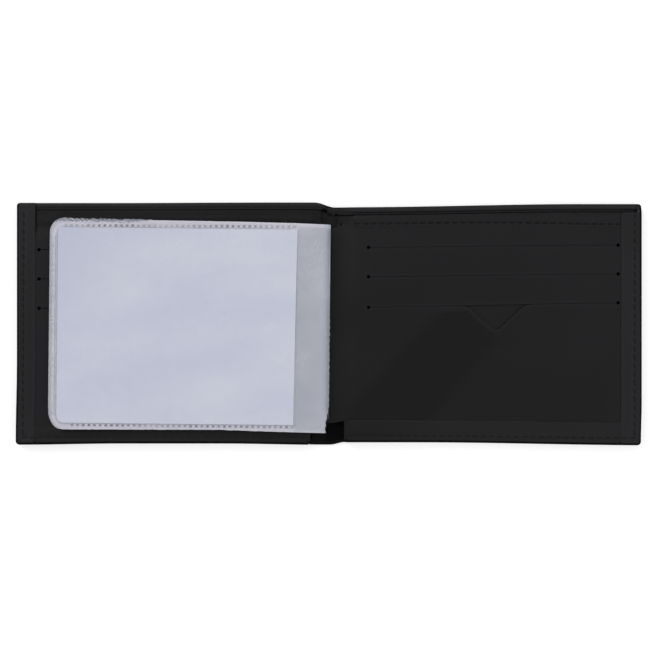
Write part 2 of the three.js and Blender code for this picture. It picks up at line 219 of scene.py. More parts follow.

# Tone of the leather, from -1, dark, to 1, pale: rims worn pale, and the painted shade and painted light
# named below
RUB_WIDTH = 1.2
RIM_RUB = 0.4
LIP_RUB = 0.35
LIP_RUB_RUN = 2
END_TONE = {"left": (0.0, 0.62), "right": (-0.35, 0.55)}
# Painted shade on the bottom turned edges, darkest at the fold
BOTTOM_SHADE = -0.4
BOTTOM_SHADE_RUN = 45
# Painted shade at the outer rim, where the rolled edge turns from the light; the darkest faces take the edge
# paint
RIM_SHADE_REACH = (1.1, 0.5)
TOP_RIM_SHADE_CUT = 0.5
PAINTED = -0.55
# Painted shade of the spine's inner leather, of the inside folded in at its top, and of the cover strip at
# its bottom
SPINE_SHADE = -0.9
# Painted shade on the left half's mouth ledge, inside the bill opening
LEDGE_SHADE = {"left": -0.5, "right": 0.0}
LEDGE_START = 0.9
LEDGE_RUN = 0.6
# Painted shade on the cover's bead next to the spine
MOUTH_SHADE = -0.5
MOUTH_SHADE_START = {"left": -2.5, "right": 1.5}
MOUTH_SHADE_RUN = 1.5
MOUTH_FADE = 2
# Painted light on the left slot panel, for the light that the white insert throws onto it
PANEL_BOUNCE_LIGHT = {"left": 0.8, "right": 0.0}
# Painted shade on the left panel's sunk strip under the binding
SUNK_SHADE = {"left": -0.45, "right": 0.0}
SUNK_START = 30
SUNK_RUN = 4
BINDING_WEAR = {"left": 0.05, "right": 0.3}
# Painted shade on the binding, darkest just below its rolled top edge
BINDING_SHADE = {"left": 0.7, "right": 1.1}
BINDING_SHADE_WIDTH = {"left": 3.2, "right": 1.7}
# Painted shade where the inside folds in at the top of the spine
FOLD_SHADE = {"left": -0.5, "right": 3.6}
FOLD_SHADE_RUN = 1.5
FOLD_SHADE_LOW = 37.2
FOLD_SHADE_RISE = 1.2
# Painted shade along a streak on the right panel's lower part, where the waved leather reflects less light
LOW_SHADE = -0.9
LOW_SHADE_LIMIT = 0.2
LOW_STREAK = ((13, -38), (47, 1))
LOW_STREAK_WIDTH = (3, 17)

# Cloth inside the leather; its thickness and its waves are shares of the room it lies in
CLOTH_SHARE = 0.4
CLOTH_STIR = 0.25
CLOTH_WAVE = 30
LINING_END_GAP = 0.6
LINING_HEM_GAP = 0.3

# Photo insert
LEAF_COUNT = 4
LEAF_WIDTH = 101.65
LEAF_FAN = 0.45
LEAF_CORNERS = (5.4, 4.7)
LOW_CORNER_STRETCH = 1.6
LOW_CUT_STEP = 1.3
LOW_CUT_WANDER = 0.04
TOP_CUT_STEP = 0.8
TOP_CUT_WANDER = 0.02
STANDING_WANDER = 0.2
STANDING_CLEAR = 1.7
STANDING_RUN = 0.25
FILM_THICKNESS = 0.1
FILM_GAP = 0.03
FILM_RISE = 0.32
FILM_FALL = (0.05, 0.5)
FILM_STIR = 0.03
FILM_WAVE = 16
WELD_START = 0.1
WELD_RUN = 0.6
END_WELD_WIDTH = 1.05
SLIP_HALF = 35.83
SLIP_RISE = 0.55
SLIP_LEFT = -99.75
SLIP_RIGHT = -12.1
SLIP_SLANT = 0.85
SLIP_THICKNESS = 0.18
SLIP_CORNERS = (1.0, 2.5)
SLIP_LIFT = 0.3
SLIP_CURL = 0.01
SLIP_WAVE = 40
INSERT_TURN = 0.6

# Seal marks, and the rough cut of the film: pale burr marks that are also painted highlight, and marks of
# painted shade
SEAL_PITCH = 2.03
SEAL_RADIUS = 0.85
SEAL_HEIGHT = 0.03
SEAL_PROUD = 0.06
SEAL_TURN = 45
SEAL_LOOSE = 0.3
CROSS_ARM = 0.36
END_SEAL_GAP = 1
END_SEALS_TO_PITCH = 2.8
END_SEAL_SIZE = 0.4
BURR_PITCH = 0.7
BURR_RADIUS = 0.38
BURR_LOOSE = 1.0
RIM_MARK_SIZE = 0.7
CUT_TOP_MARGIN = 0.2
CUT_END_MARGIN = 0.25

# Gutter between the sleeves and the hinge, and the tongue that holds the insert
GUTTER_WIDTH = 12.4
GUTTER_STEP = 0.6
HINGE_EDGE = 0.1
HINGE_GATHER = 0.4
GATHER_START = (-36.1, 37.65)
GATHER_RUN = 0.6
SLACK_TOP = 12
SLACK_RUN = 14
LOW_SLANT = 1.25
LOW_SLANT_TOP = -27
LOW_SLANT_RUN = 10
SCALLOP = 0.16
SCALLOP_LENGTH = 2.4
SCALLOP_WANDER = 0.1
GUTTER_STIR = 0.07
GUTTER_STIR_RUN = 20
GUTTER_WAVE = 9
GUTTER_WELD = 1.3
GUTTER_WELD_FADE = 0.3
GUTTER_HAZE = 0.2
GUTTER_WELD_HAZE = 0.6
GUTTER_RIM_HAZE = 0.3
# Clearer film by the hinge, partly thin film and partly painted shade, as the dark leather shows through
THIN_RUN = 2.4
THIN_AND_SHADED_CLEAR = 1.3
TONGUE_HALF = 33.0
TONGUE_LEFT = -57.9
TONGUE_TIP = 3
TONGUE_STEP = 2
TONGUE_THICKNESS = 0.15
WEB_TOP = 5.45
WEB_RADIUS = 0.8

# Lines along the insert: the front leaf's top, the rearmost leaf's top, every leaf's bottom, the seal rows
FRONT_TOP = ((-98, 38.5), (-72, 38.55), (-65, 39.25), (-33, 39.05), (-11, 38.7), (0, 38.3))
REAR_TOP = ((-98, 40.0), (-92, 39.7), (-66, 39.55), (-64.8, 39.25), (-33, 39.05), (-11, 38.7), (0, 38.3))
LEAF_BOTTOM = ((-98, -37.75), (-66, -37.5), (-40, -37.3), (-11, -38.0), (0, -38.15))
SEAL_ROWS = (((-97, 37.05), (-13.2, 37.45)), ((-94, -36.0), (-13.2, -36.05)))

# Finishes, in metres: a scale is a count to a metre, a bump its strength and its depth
NOISE_MIDDLE = (0.3, 0.7)
GRAIN_WANDER_SCALE = 420
GRAIN_WANDER = 0.0009
PEBBLE_WALL = 0.22
PORE_SCALE = 5200
PORE_HEIGHT = 0.5
MOTTLE_SCALE = 38
MOTTLE_TONE = 0.3
PATCH_SCALE = 14
PATCH_MIDDLE = (0.35, 0.65)
PATCH_TONE = 0.3
RUB_RANGE = (0.2, 0.8)
RUB_TONE = 1.6
DARK_TONE = -1.2
HANDLED_RUN = (-0.03, 0.035)
POLISH = (0.06, -0.05)
DOME_POLISH = -0.05
GRAIN_BUMP = (0.35, 0.00005)
WEAVE_SCALE = 720
WEAVE_BUMP = (0.5, 0.00008)
SLUB_SCALE = 260
SLUB_TONE = 0.6
STRAND_SCALE = 620
STRAND_WANDER = 0.6
STRAND_BUMP = (0.5, 0.00006)
CLOUD_SCALE = 70
CLOUD_TONE = 0.25
CLOUD_HAZE = 0.03
CRINKLE_SCALE = 420
CRINKLE_WANDER = 0.8
CRINKLE_BUMP = (0.2, 0.0002)
FILM_ROUGHNESS = (0.24, 0.42)
TINT_SLANT = 40
TINT_STRETCH = (1, 2.4, 1)
TINT_SCALE = 26
TINT_SOFTNESS = 0.4
TINT_MIDDLE = (0.32, 0.68)
# Painted shade of the slip's top left corner
SHADED_CORNER = (0.085, 0.13)
FIBRE_SCALE = 3200
FIBRE_BUMP = (0.15, 0.00003)
PRESS_SCALE = 32
PRESS_MIDDLE = (0.4, 0.62)

# Mesh density: rings are distances from a rim at which a sheet has a line of points
GRID = 1.7
COARSE_GRID = 2.5
FILM_GRID = 2.6
GUTTER_GRID = 1.3
SLIP_GRID = 4
RIM_STEP = 1.4
LEATHER_RINGS = (0.06, 0.14, 0.25, 0.45, 0.8)
HEM_RINGS = (0.05, 0.13, 0.26, 0.45, 0.7, 0.88, 0.96, 1.2, 1.5, 1.75, 2.0,
             2.25, 2.48, 2.62, 2.78, 2.92, 3.2)
FILM_RINGS = (0.25, 0.7, 1.1, 1.4, 1.7, 2.0, 2.3, 2.6, 2.9, 3.2, 3.5, 3.9)
GUTTER_RINGS = (0.3, 1.1, 1.5)
CLOTH_RINGS = (0.4,)
STRIP_RINGS = (0.3,)
RING_KEPT = 0.97
ARC_STEPS = 8
HOLE_SIDES = 12
BINDING_STEPS = 24
LENGTH_STEPS = 60
TONGUE_STEPS = 40
CUT_STEPS = 30
SHARP_ANGLE = math.radians(38)
SHARPEST_CORNER = 0.2
SAME_POINT = 1e-5
LEAST_AREA = 1e-7
TINY = 1e-12
WELDED_POINT = 1e-6

# Waves of a sheet, and the seeds of all that is random; a leaf or a row adds its number
WAVES = 5
WAVE_SPREAD = (0.7, 1.4)
PANEL_SEED = 4
ROW_SEED = 7
LINING_SEED = 11
WALL_SEED = 12
POCKET_SEED = 12
LEAF_CUT_SEED = 20
SLEEVE_SEED = 30
SCALLOP_SEED = 40
GUTTER_SEED = 50
SLIP_SEED = 60

# Stage, in metres and watts, but for the frame and the lens, which are in millimetres
FRAME_WIDTH = 243.25
FRAME_CENTRE = (0.25, -2.21)
FRAME_HEIGHT = 2.3
LENS = 150
SENSOR = 36
NEAREST, FARTHEST = 0.05, 20
FLOOR_SIZE = 3
FLOOR_DROP = 0.0002
FLOOR_COLOUR = (0.72, 0.72, 0.72, 1)
FLOOR_GLOW = 0.56
ROOM_COLOUR = (0.5, 0.5, 0.505, 1)
KEY_PLACE, KEY_SIZE, KEY_POWER = (-0.6, 0.65, 0.8), 0.7, 4.6
FILL_PLACE, FILL_SIZE, FILL_POWER = (0.8, -0.4, 0.8), 0.9, 3.6


# Shape helpers

def smooth(share):
    """Smooth step from 0 to 1, for a share that may lie outside them."""
    share = np.clip(share, 0, 1)
    return share * share * (3 - 2 * share)


def rolled(distance, width, drop):
    """How far a rolled edge has dropped at a distance from it."""
    share = 1 - np.clip(distance / width, 0, 1)
    return drop * (1 - np.sqrt(1 - share ** 2))


def groove(distance, width, depth):
    """Depth of a pressed line at a distance from its middle."""
    return depth * np.exp(-((distance / width) ** 2))


def ripple(points, length, seed):
    """Gentle waves of about that length over a sheet, from -1 to 1."""
    random = np.random.default_rng(seed)
    total = np.zeros(len(points))
    for _ in range(WAVES):
        angle, phase = random.uniform(0, 2 * math.pi, 2)
        direction = np.array((math.cos(angle), math.sin(angle)))
        pitch = length * random.uniform(*WAVE_SPREAD)
        total += np.sin(points[:, :2] @ direction * (2 * math.pi / pitch) + phase)
    return total / WAVES


def arc(centre, radius, first, last, steps=ARC_STEPS):
    """Points on a round stretch, between two angles in degrees."""
    angles = np.radians(np.linspace(first, last, steps + 1))
    return [(centre[0] + radius * math.cos(a), centre[1] + radius * math.sin(a)) for a in angles]


def rectangle(left, right, bottom, top):
    """Corners of an upright rectangle."""
    return [(left, bottom), (right, bottom), (right, top), (left, top)]


def sides_of(line, closed=False):
    """The straight sides of a line of points."""
    line = np.array(line, float)
    following = np.roll(line, -1, axis=0)
    sides = np.stack([line, following], axis=1)
    return sides if closed else sides[:-1]


def rim_distance(points, sides):
    """Distance from each point to the nearest of the sides."""
    start, way = sides[:, 0], sides[:, 1] - sides[:, 0]
    gap = points[:, None, :2] - start
    share = np.clip((gap * way).sum(-1) / np.maximum((way ** 2).sum(-1), TINY), 0, 1)
    return np.sqrt(((gap - share[..., None] * way) ** 2).sum(-1)).min(1)


def inside(points, sides):
    """Whether each point lies within the closed loops that the sides make."""
    x, y = points[:, :1], points[:, 1:2]
    x0, y0, x1, y1 = sides[:, 0, 0], sides[:, 0, 1], sides[:, 1, 0], sides[:, 1, 1]
    spans = (y0 > y) != (y1 > y)
    crossing = x0 + (y - y0) * (x1 - x0) / np.where(y1 == y0, TINY, y1 - y0)
    return (spans & (x < crossing)).sum(1) % 2 == 1


def wound(loop, way):
    """The loop turned anticlockwise for way 1, or clockwise for way -1."""
    loop = np.array(loop, float)
    following = np.roll(loop, -1, axis=0)
    area = (loop[:, 0] * following[:, 1] - following[:, 0] * loop[:, 1]).sum()
    return loop if area * way > 0 else loop[::-1]


def densified(loop, step):
    """The loop with points added, so that no side is longer than step."""
    points = []
    for start, end in sides_of(loop, closed=True):
        count = max(1, math.ceil(np.linalg.norm(end - start) / step))
        points.extend(start + (end - start) * i / count for i in range(count))
    return np.array(points)


def moved_in(loop, distance):
    """The loop moved to its left by a distance."""
    sides = sides_of(loop, closed=True)
    way = sides[:, 1] - sides[:, 0]
    way /= np.linalg.norm(way, axis=1)[:, None]
    normal = np.stack([-way[:, 1], way[:, 0]], axis=1)
    joined = normal + np.roll(normal, 1, axis=0)
    joined /= np.maximum((joined ** 2).sum(1), SHARPEST_CORNER)[:, None] / 2
    return loop + joined * distance


def sheet(outline, upper, lower, holes=(), rings=LEATHER_RINGS, grid=GRID):
    """Closed sheet over an outline with holes: its vertices, its faces and the vertices' distances from the
    rim. The first half of the vertices are those of its upper face.
    upper and lower give the heights of its two faces at points that lie at distances from the rim."""
    loops = [wound(outline, 1)] + [wound(hole, -1) for hole in holes]
    sides = np.concatenate([sides_of(loop, closed=True) for loop in loops])
    rims = [densified(loop, RIM_STEP) for loop in loops]
    points = list(rims)
    for ring in rings:
        for rim in rims:
            line = moved_in(rim, ring)
            points.append(line[inside(line, sides) & (rim_distance(line, sides) > RING_KEPT * ring)])
    low, high = loops[0].min(0), loops[0].max(0)
    across = np.arange(low[0] + grid / 2, high[0], grid)
    up = np.arange(low[1] + grid / 2, high[1], grid)
    field = np.array(np.meshgrid(across, up)).reshape(2, -1).T
    field = field[inside(field, sides)]
    points.append(field[rim_distance(field, sides) > rings[-1] + grid / 2])

    edges, first = [], 0
    for rim in rims:
        count = len(rim)
        edges += [(first + i, first + (i + 1) % count) for i in range(count)]
        first += count
    start = [Vector(point) for point in np.concatenate(points)]
    plan, _, triangles, origins, _, _ = delaunay_2d_cdt(start, edges, [], 0, SAME_POINT)
    plan = np.array([tuple(point) for point in plan])
    triangles = np.array(triangles)
    a, b, c = (plan[triangles[:, i]] for i in range(3))
    area = (b[:, 0] - a[:, 0]) * (c[:, 1] - a[:, 1]) - (b[:, 1] - a[:, 1]) * (c[:, 0] - a[:, 0])
    triangles = triangles[inside((a + b + c) / 3, sides) & (area > LEAST_AREA)]

    place = {old: new for new, olds in enumerate(origins) for old in olds}
    count = len(plan)
    walls = []
    for i, j in edges:
        i, j = place[i], place[j]
        walls.append((i + count, j + count, j, i))
    distance = rim_distance(plan, sides)
    top = np.column_stack([plan, upper(plan, distance)])
    bottom = np.column_stack([plan, lower(plan, distance)])
    faces = [tuple(t) for t in triangles] + [tuple(t[::-1] + count) for t in triangles] + walls
    return np.concatenate([top, bottom]), faces, np.concatenate([distance, distance])


def upper_face(values):
    """Values of a sheet's vertices, kept on its upper face alone."""
    values[len(values) // 2:] = 0
    return values


def lofted(rings):
    """Closed mesh through rings of points, with a cap at each end."""
    count = len(rings[0])
    faces = []
    for ring in range(len(rings) - 1):
        for i in range(count):
            j = (i + 1) % count
            first, second = ring * count, (ring + 1) * count
            faces.append((first + i, first + j, second + j, second + i))
    faces.append(tuple(range(count))[::-1])
    last = (len(rings) - 1) * count
    faces.append(tuple(range(last, last + count)))
    return np.concatenate([np.array(ring, float) for ring in rings]), faces


def linked(name, data):
    """New object in the scene that holds the data."""
    new = bpy.data.objects.new(name, data)
    bpy.context.scene.collection.objects.link(new)
    return new


def made(name, vertices, faces, material, slot, edge=None, rim_paint=None):
    """New piece of the wallet: vertices in millimetres, and edge each one's tone or haze; a leather's tone
    holds how worn it is, painted shade and painted light. With a rim paint, that covers the faces that are
    darkest."""
    mesh = bpy.data.meshes.new(name)
    mesh.from_pydata((np.array(vertices) * MM).tolist(), [], [tuple(map(int, face)) for face in faces])
    mesh.polygons.foreach_set("use_smooth", [True] * len(mesh.polygons))
    mesh.set_sharp_from_angle(angle=SHARP_ANGLE)
    mesh.materials.append(material)
    if rim_paint is not None:
        mesh.materials.append(rim_paint)
        painted = [int(np.mean(edge[list(face)]) < PAINTED) for face in faces]
        mesh.polygons.foreach_set("material_index", painted)
    if edge is not None:
        values = mesh.attributes.new("edge", "FLOAT", "POINT").data
        values.foreach_set("value", edge.astype(np.float32))
    mesh.validate()
    piece = linked(name, mesh)
    return piece


# Material helpers

def add(tree, kind, inputs=None, **settings):
    """New node: settings are its properties, inputs its sockets' values or the sockets that feed them."""
    new = tree.nodes.new(kind)
    for name, value in settings.items():
        setattr(new, name, value)
    for name, value in (inputs or {}).items():
        if isinstance(value, bpy.types.NodeSocket):
            tree.links.new(value, new.inputs[name])
        else:
            new.inputs[name].default_value = value
    return new


def surface(name, **sockets):
    """New material with the values of its shader's sockets: the material, its tree and its shader."""
    material = bpy.data.materials.new(name)
    material.use_nodes = True
    tree = material.node_tree
    shader = tree.nodes["Principled BSDF"]
    for socket, value in sockets.items():
        shader.inputs[socket.replace("_", " ")].default_value = value
    return material, tree, shader


def object_place(tree):
    """Place on the piece, in metres."""
    return add(tree, "ShaderNodeTexCoord").outputs["Object"]


def edge_value(tree):
    """The piece's own tone, with painted shade and painted light, or its haze."""
    return add(tree, "ShaderNodeAttribute", attribute_name="edge").outputs["Fac"]


def mixed(tree, factor, dark, light):
    """Colour between two, by a factor."""
    inputs = {"Factor": factor, 6: dark, 7: light}
    return add(tree, "ShaderNodeMix", inputs, data_type="RGBA").outputs[2]


def ranged(tree, value, low, high, out_low, out_high):
    """Value taken from one range to another and kept within it."""
    inputs = {"Value": value, "From Min": low, "From Max": high, "To Min": out_low, "To Max": out_high}
    return add(tree, "ShaderNodeMapRange", inputs).outputs["Result"]


def combined(tree, first, second, operation="ADD"):
    """Sum of two values, or another operation on them."""
    return add(tree, "ShaderNodeMath", {0: first, 1: second}, operation=operation).outputs[0]


def noise(tree, place, scale, detail, **more):
    """Cloudy noise, from 0 to 1."""
    inputs = {"Vector": place, "Scale": scale, "Detail": detail, **more}
    return add(tree, "ShaderNodeTexNoise", inputs).outputs["Fac"]


def bumped(tree, shader, height, strength, depth):
    """Gives a surface a fine relief."""
    inputs = {"Height": height, "Strength": strength, "Distance": depth}
    tree.links.new(add(tree, "ShaderNodeBump", inputs).outputs["Normal"], shader.inputs["Normal"])


# Materials

def leather(name, dark, light, grain, rough, shine, handled):
    """Smooth dyed leather with fine pebbled grain, pores and faint mottling, more worn towards the mouth of
    the wallet, where it is handled. It is pale where its edge value is 1, on worn rims and at painted light,
    and dark where it is -1, at painted shade."""
    material, tree, shader = surface(name, Specular_IOR_Level=shine)
    place = object_place(tree)
    wander = add(tree, "ShaderNodeTexNoise", {"Vector": place, "Scale": GRAIN_WANDER_SCALE, "Detail": 2})
    shifted = add(tree, "ShaderNodeVectorMath", {0: wander.outputs["Color"]}, operation="SCALE")
    shifted.inputs["Scale"].default_value = GRAIN_WANDER
    warped = add(tree, "ShaderNodeVectorMath", {0: place, 1: shifted.outputs[0]}).outputs[0]
    cells = {"Vector": warped, "Scale": grain}
    pebbles = add(tree, "ShaderNodeTexVoronoi", cells, feature="DISTANCE_TO_EDGE").outputs["Distance"]
    domes = ranged(tree, pebbles, 0, PEBBLE_WALL, 0, 1)
    pores = noise(tree, place, PORE_SCALE, 3)
    mottle = noise(tree, place, MOTTLE_SCALE, 5)
    patches = noise(tree, place, PATCH_SCALE, 2)
    edge = edge_value(tree)
    edge_tone = combined(tree, ranged(tree, edge, *RUB_RANGE, 0, RUB_TONE), pores, "MULTIPLY")
    # Below 0 the edge value darkens the leather: painted shade
    edge_tone = combined(tree, edge_tone, ranged(tree, edge, -1, 0, DARK_TONE, 0))
    tone = combined(tree, ranged(tree, mottle, *NOISE_MIDDLE, 0, MOTTLE_TONE), edge_tone)
    tone = combined(tree, tone, ranged(tree, patches, *PATCH_MIDDLE, 0, PATCH_TONE))
    upward = add(tree, "ShaderNodeSeparateXYZ", {"Vector": place}).outputs["Y"]
    tone = combined(tree, tone, ranged(tree, upward, *HANDLED_RUN, 0, handled))
    tree.links.new(mixed(tree, tone, dark, light), shader.inputs["Base Color"])
    polish = ranged(tree, mottle, *NOISE_MIDDLE, rough + POLISH[0], rough + POLISH[1])
    polish = combined(tree, polish, combined(tree, domes, DOME_POLISH, "MULTIPLY"))
    tree.links.new(polish, shader.inputs["Roughness"])
    bumped(tree, shader, combined(tree, domes, combined(tree, pores, PORE_HEIGHT, "MULTIPLY")), *GRAIN_BUMP)
    return material


def woven_cloth(name, dark, light):
    """Plain woven lining: threads across and along that pass over each other."""
    material, tree, shader = surface(name, Roughness=0.9, Specular_IOR_Level=0.08)
    place = object_place(tree)
    weave = {"Vector": place, "Scale": WEAVE_SCALE}
    warp = add(tree, "ShaderNodeTexWave", weave, bands_direction="X").outputs["Fac"]
    weft = add(tree, "ShaderNodeTexWave", weave, bands_direction="Y").outputs["Fac"]
    woven = combined(tree, warp, weft, "MULTIPLY")
    slubs = noise(tree, place, SLUB_SCALE, 3)
    tone = combined(tree, woven, combined(tree, slubs, SLUB_TONE, "MULTIPLY"))
    tree.links.new(mixed(tree, tone, dark, light), shader.inputs["Base Color"])
    bumped(tree, shader, woven, *WEAVE_BUMP)
    return material


def waxed_thread(name, dark, light):
    """Waxed sewing thread, twisted from finer strands."""
    material, tree, shader = surface(name, Roughness=0.7, Specular_IOR_Level=0.2)
    strands = {"Vector": object_place(tree), "Scale": STRAND_SCALE, "Distortion": STRAND_WANDER}
    twist = add(tree, "ShaderNodeTexWave", strands, bands_direction="DIAGONAL").outputs["Fac"]
    tree.links.new(mixed(tree, twist, dark, light), shader.inputs["Base Color"])
    bumped(tree, shader, twist, *STRAND_BUMP)
    return material


def milky_film(name, tint, weld_tint, clearest, clear, welded):
    """Soft clear vinyl gone milky, with faint crinkles: clearest where its haze is -1, clear where it is 0,
    and dense where it is 1, as at a weld."""
    material, tree, shader = surface(name, Specular_IOR_Level=0.4, IOR=1.53)
    place = object_place(tree)
    clouds = noise(tree, place, CLOUD_SCALE, 3)
    crinkles = noise(tree, place, CRINKLE_SCALE, 4, Distortion=CRINKLE_WANDER)
    edge = edge_value(tree)
    tone = combined(tree, edge, ranged(tree, clouds, *NOISE_MIDDLE, 0, CLOUD_TONE))
    tree.links.new(mixed(tree, tone, tint, weld_tint), shader.inputs["Base Color"])
    haze = ranged(tree, edge, -1, 0, clearest, clear)
    haze = combined(tree, haze, ranged(tree, edge, 0, 1, 0, welded - clear))
    haze = combined(tree, haze, ranged(tree, clouds, *NOISE_MIDDLE, -CLOUD_HAZE, CLOUD_HAZE))
    tree.links.new(haze, shader.inputs["Alpha"])
    tree.links.new(ranged(tree, edge, 0, 1, *FILM_ROUGHNESS), shader.inputs["Roughness"])
    bumped(tree, shader, crinkles, *CRINKLE_BUMP)
    return material


def white_paper(name, cool, warm, shade_colour):
    """White photo paper: fine fibres, faint cloudy tints that run aslant, and painted shade that darkens
    its corner at the top left."""
    material, tree, shader = surface(name, Roughness=0.75, Specular_IOR_Level=0.3)
    place = object_place(tree)
    slant = {"Vector": place, "Rotation": (0, 0, math.radians(TINT_SLANT)), "Scale": TINT_STRETCH}
    slanted = add(tree, "ShaderNodeMapping", slant).outputs["Vector"]
    tint = noise(tree, slanted, TINT_SCALE, 2, Roughness=TINT_SOFTNESS)
    tinted = mixed(tree, ranged(tree, tint, *TINT_MIDDLE, 0, 1), cool, warm)
    spot = add(tree, "ShaderNodeSeparateXYZ", {"Vector": place}).outputs
    corner = ranged(tree, combined(tree, spot["Y"], spot["X"], "SUBTRACT"), *SHADED_CORNER, 0, 1)
    tree.links.new(mixed(tree, corner, tinted, shade_colour), shader.inputs["Base Color"])
    bumped(tree, shader, noise(tree, place, FIBRE_SCALE, 4), *FIBRE_BUMP)
    return material


def seal_print(name, deep, faint):
    """Mark of a die or a knife in the film, deeper in some stretches than in others."""
    material, tree, shader = surface(name, Roughness=0.4, Specular_IOR_Level=0.3)
    stretch = noise(tree, object_place(tree), PRESS_SCALE, 3)
    print_colour = mixed(tree, ranged(tree, stretch, *PRESS_MIDDLE, 0, 1), deep, faint)
    tree.links.new(print_colour, shader.inputs["Base Color"])
    return material


COVER_LEATHER = leather("cover_leather", (0.0022, 0.0021, 0.0028, 1), (0.0125, 0.0121, 0.0142, 1),
                        grain=1250, rough=0.5, shine=0.26, handled=0.6)
# Matte edge paint, on the rim faces where the painted shade is deepest
EDGE_PAINT = leather("edge_paint", (0.0085, 0.0085, 0.0095, 1), (0.014, 0.014, 0.0155, 1),
                     grain=1250, rough=0.9, shine=0.0, handled=0.2)
PANEL_LEATHER = leather("panel_leather", (0.0016, 0.0016, 0.0022, 1), (0.0072, 0.0072, 0.0086, 1),
                        grain=1500, rough=0.54, shine=0.23, handled=0.6)
LINING_CLOTH = woven_cloth("lining_cloth", (0.0014, 0.0014, 0.0018, 1), (0.0044, 0.0044, 0.0054, 1))
HEM_THREAD = waxed_thread("hem_thread", (0.0045, 0.0045, 0.0052, 1), (0.0125, 0.0125, 0.0135, 1))
# Left thread paler, painted light against the insert's shade; right thread darker, painted shade in its
# holes
BINDING_THREAD = {
    "left": waxed_thread("painted_light_thread", (0.011, 0.011, 0.0125, 1), (0.023, 0.023, 0.025, 1)),
    "right": waxed_thread("painted_shade_thread", (0.0012, 0.0012, 0.0015, 1), (0.005, 0.005, 0.0056, 1)),
}
FILM = milky_film("milky_film", (0.745, 0.78, 0.875, 1), (0.92, 0.91, 1.0, 1),
                  clearest=0.1, clear=0.26, welded=0.31)
# The paper's third colour is painted shade for the slip's top left corner
PAPER = white_paper("slip_paper", (0.735, 0.745, 0.875, 1), (0.85, 0.85, 0.915, 1), (0.66, 0.67, 0.80, 1))
SEAL = seal_print("seal_mark", (0.21, 0.21, 0.26, 1), (0.52, 0.525, 0.60, 1))
# Pale burr marks that are also a painted highlight on the cut edge, and dark rim marks of painted shade
BURR_HIGHLIGHT = seal_print("film_burr_highlight", (0.42, 0.42, 0.47, 1), (0.92, 0.92, 0.96, 1))
RIM_SHADE = seal_print("film_rim_shade", (0.06, 0.06, 0.07, 1), (0.30, 0.30, 0.34, 1))


# Wallet leather

class Half:
    """One half of the wallet, laid out from its fold line."""

    def __init__(self, name, side, fold):
        self.name, self.side, self.fold = name, side, fold
        low, high = reach(f"{name}_end_hem")
        self.length = abs((high if side > 0 else low)[0] - fold)
        self.spine = abs(SPINE_MIDDLE - fold)
        corner = (self.length - CORNER_RADIUS, HALF_HEIGHT - CORNER_RADIUS)
        self.low_corner = arc((corner[0], -corner[1]), CORNER_RADIUS, -90, 0)
        self.high_corner = arc(corner, CORNER_RADIUS, 0, 90)
        start = -self.spine - PAST_SPINE
        self.bottom_and_end = sides_of([(start, -HALF_HEIGHT), *self.low_corner, (self.length, HALF_HEIGHT)])
        rounded_top = [*self.high_corner, (start, HALF_HEIGHT)]
        self.perimeter = sides_of([(start, -HALF_HEIGHT), *self.low_corner, *rounded_top])
        self.top = sides_of([(self.length, HALF_HEIGHT), (start, HALF_HEIGHT)])
        self.blend_bodies = ("left_half", "spine") if side < 0 else ("spine", "right_half")
        self.body = f"{name}_half"

    def x(self, u):
        """Place along the wallet of a distance from the fold."""
        return self.fold + self.side * u

    def placed(self, vertices, faces=()):
        """Vertices and faces of a piece, taken from the half's layout to the wallet."""
        vertices = np.array(vertices, float)
        vertices[:, 0] = self.x(vertices[:, 0])
        if self.side < 0:
            faces = [face[::-1] for face in faces]
        return lying(vertices), faces

    def piece(self, kind, vertices, faces, *finish):
        """New piece of this half, from vertices in its layout."""
        return made(f"{self.name}_{kind}", *self.placed(vertices, faces), *finish)

    def bend(self, piece, spine_end, half_end):
        """Bakes a piece's place into its mesh. The points of its spine end and its half end are worked out,
        but not used.
        """
        points = [(self.x(spine_end) * MM, 0, 0), (self.x(half_end) * MM, 0, 0)]
        start, end = points if self.side > 0 else points[::-1]
        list(self.blend_bodies)
        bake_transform(piece)
        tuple(start)
        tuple(end)


LEFT = Half("left", -1, LEFT_FOLD)
RIGHT = Half("right", 1, RIGHT_FOLD)
HALVES = (LEFT, RIGHT)


def edge_height(edge, x):
    """Height of an edge line along the wallet."""
    start, rises = edge
    return start + sum(rise * smooth((x - first) / (last - first)) for rise, first, last in rises)


def lying(vertices):
    """The wallet as it lies: the top edge drops and the bottom edge rises where they cross the spine, both
    open out again along the right half, and the outer corners at the bottom are a little out of square."""
    x, y = vertices[:, 0].copy(), vertices[:, 1].copy()
    height = np.where(y > 0, edge_height(TOP_EDGE, x), edge_height(BOTTOM_EDGE, x))
    vertices[:, 1] = y * height / HALF_HEIGHT
    for half, (splay, first, last) in ((LEFT, LEFT_SPLAY), (RIGHT, RIGHT_SPLAY)):
        share = np.clip(half.side * (x - half.fold) / half.length, 0, 1) ** 2
        vertices[:, 0] += splay * share * smooth((-y - first) / (last - first))
    return vertices


def edge_share(distance):
    """How far a sheet is worn pale at a distance from its edge."""
    return np.clip(1 - distance / RUB_WIDTH, 0, 1)


def rim_shaded(half, vertices, edge):
    """Tone of a leather with painted shade at its outer rim, where the rolled edge turns from the light,
    less broadly so along the mouth.
    """
    distance = rim_distance(vertices, half.bottom_and_end)
    distance = np.minimum(distance, rim_distance(vertices, half.top) + TOP_RIM_SHADE_CUT)
    dark = upper_face(smooth((RIM_SHADE_REACH[0] - distance) / RIM_SHADE_REACH[1]))
    return edge - (1 + edge) * dark


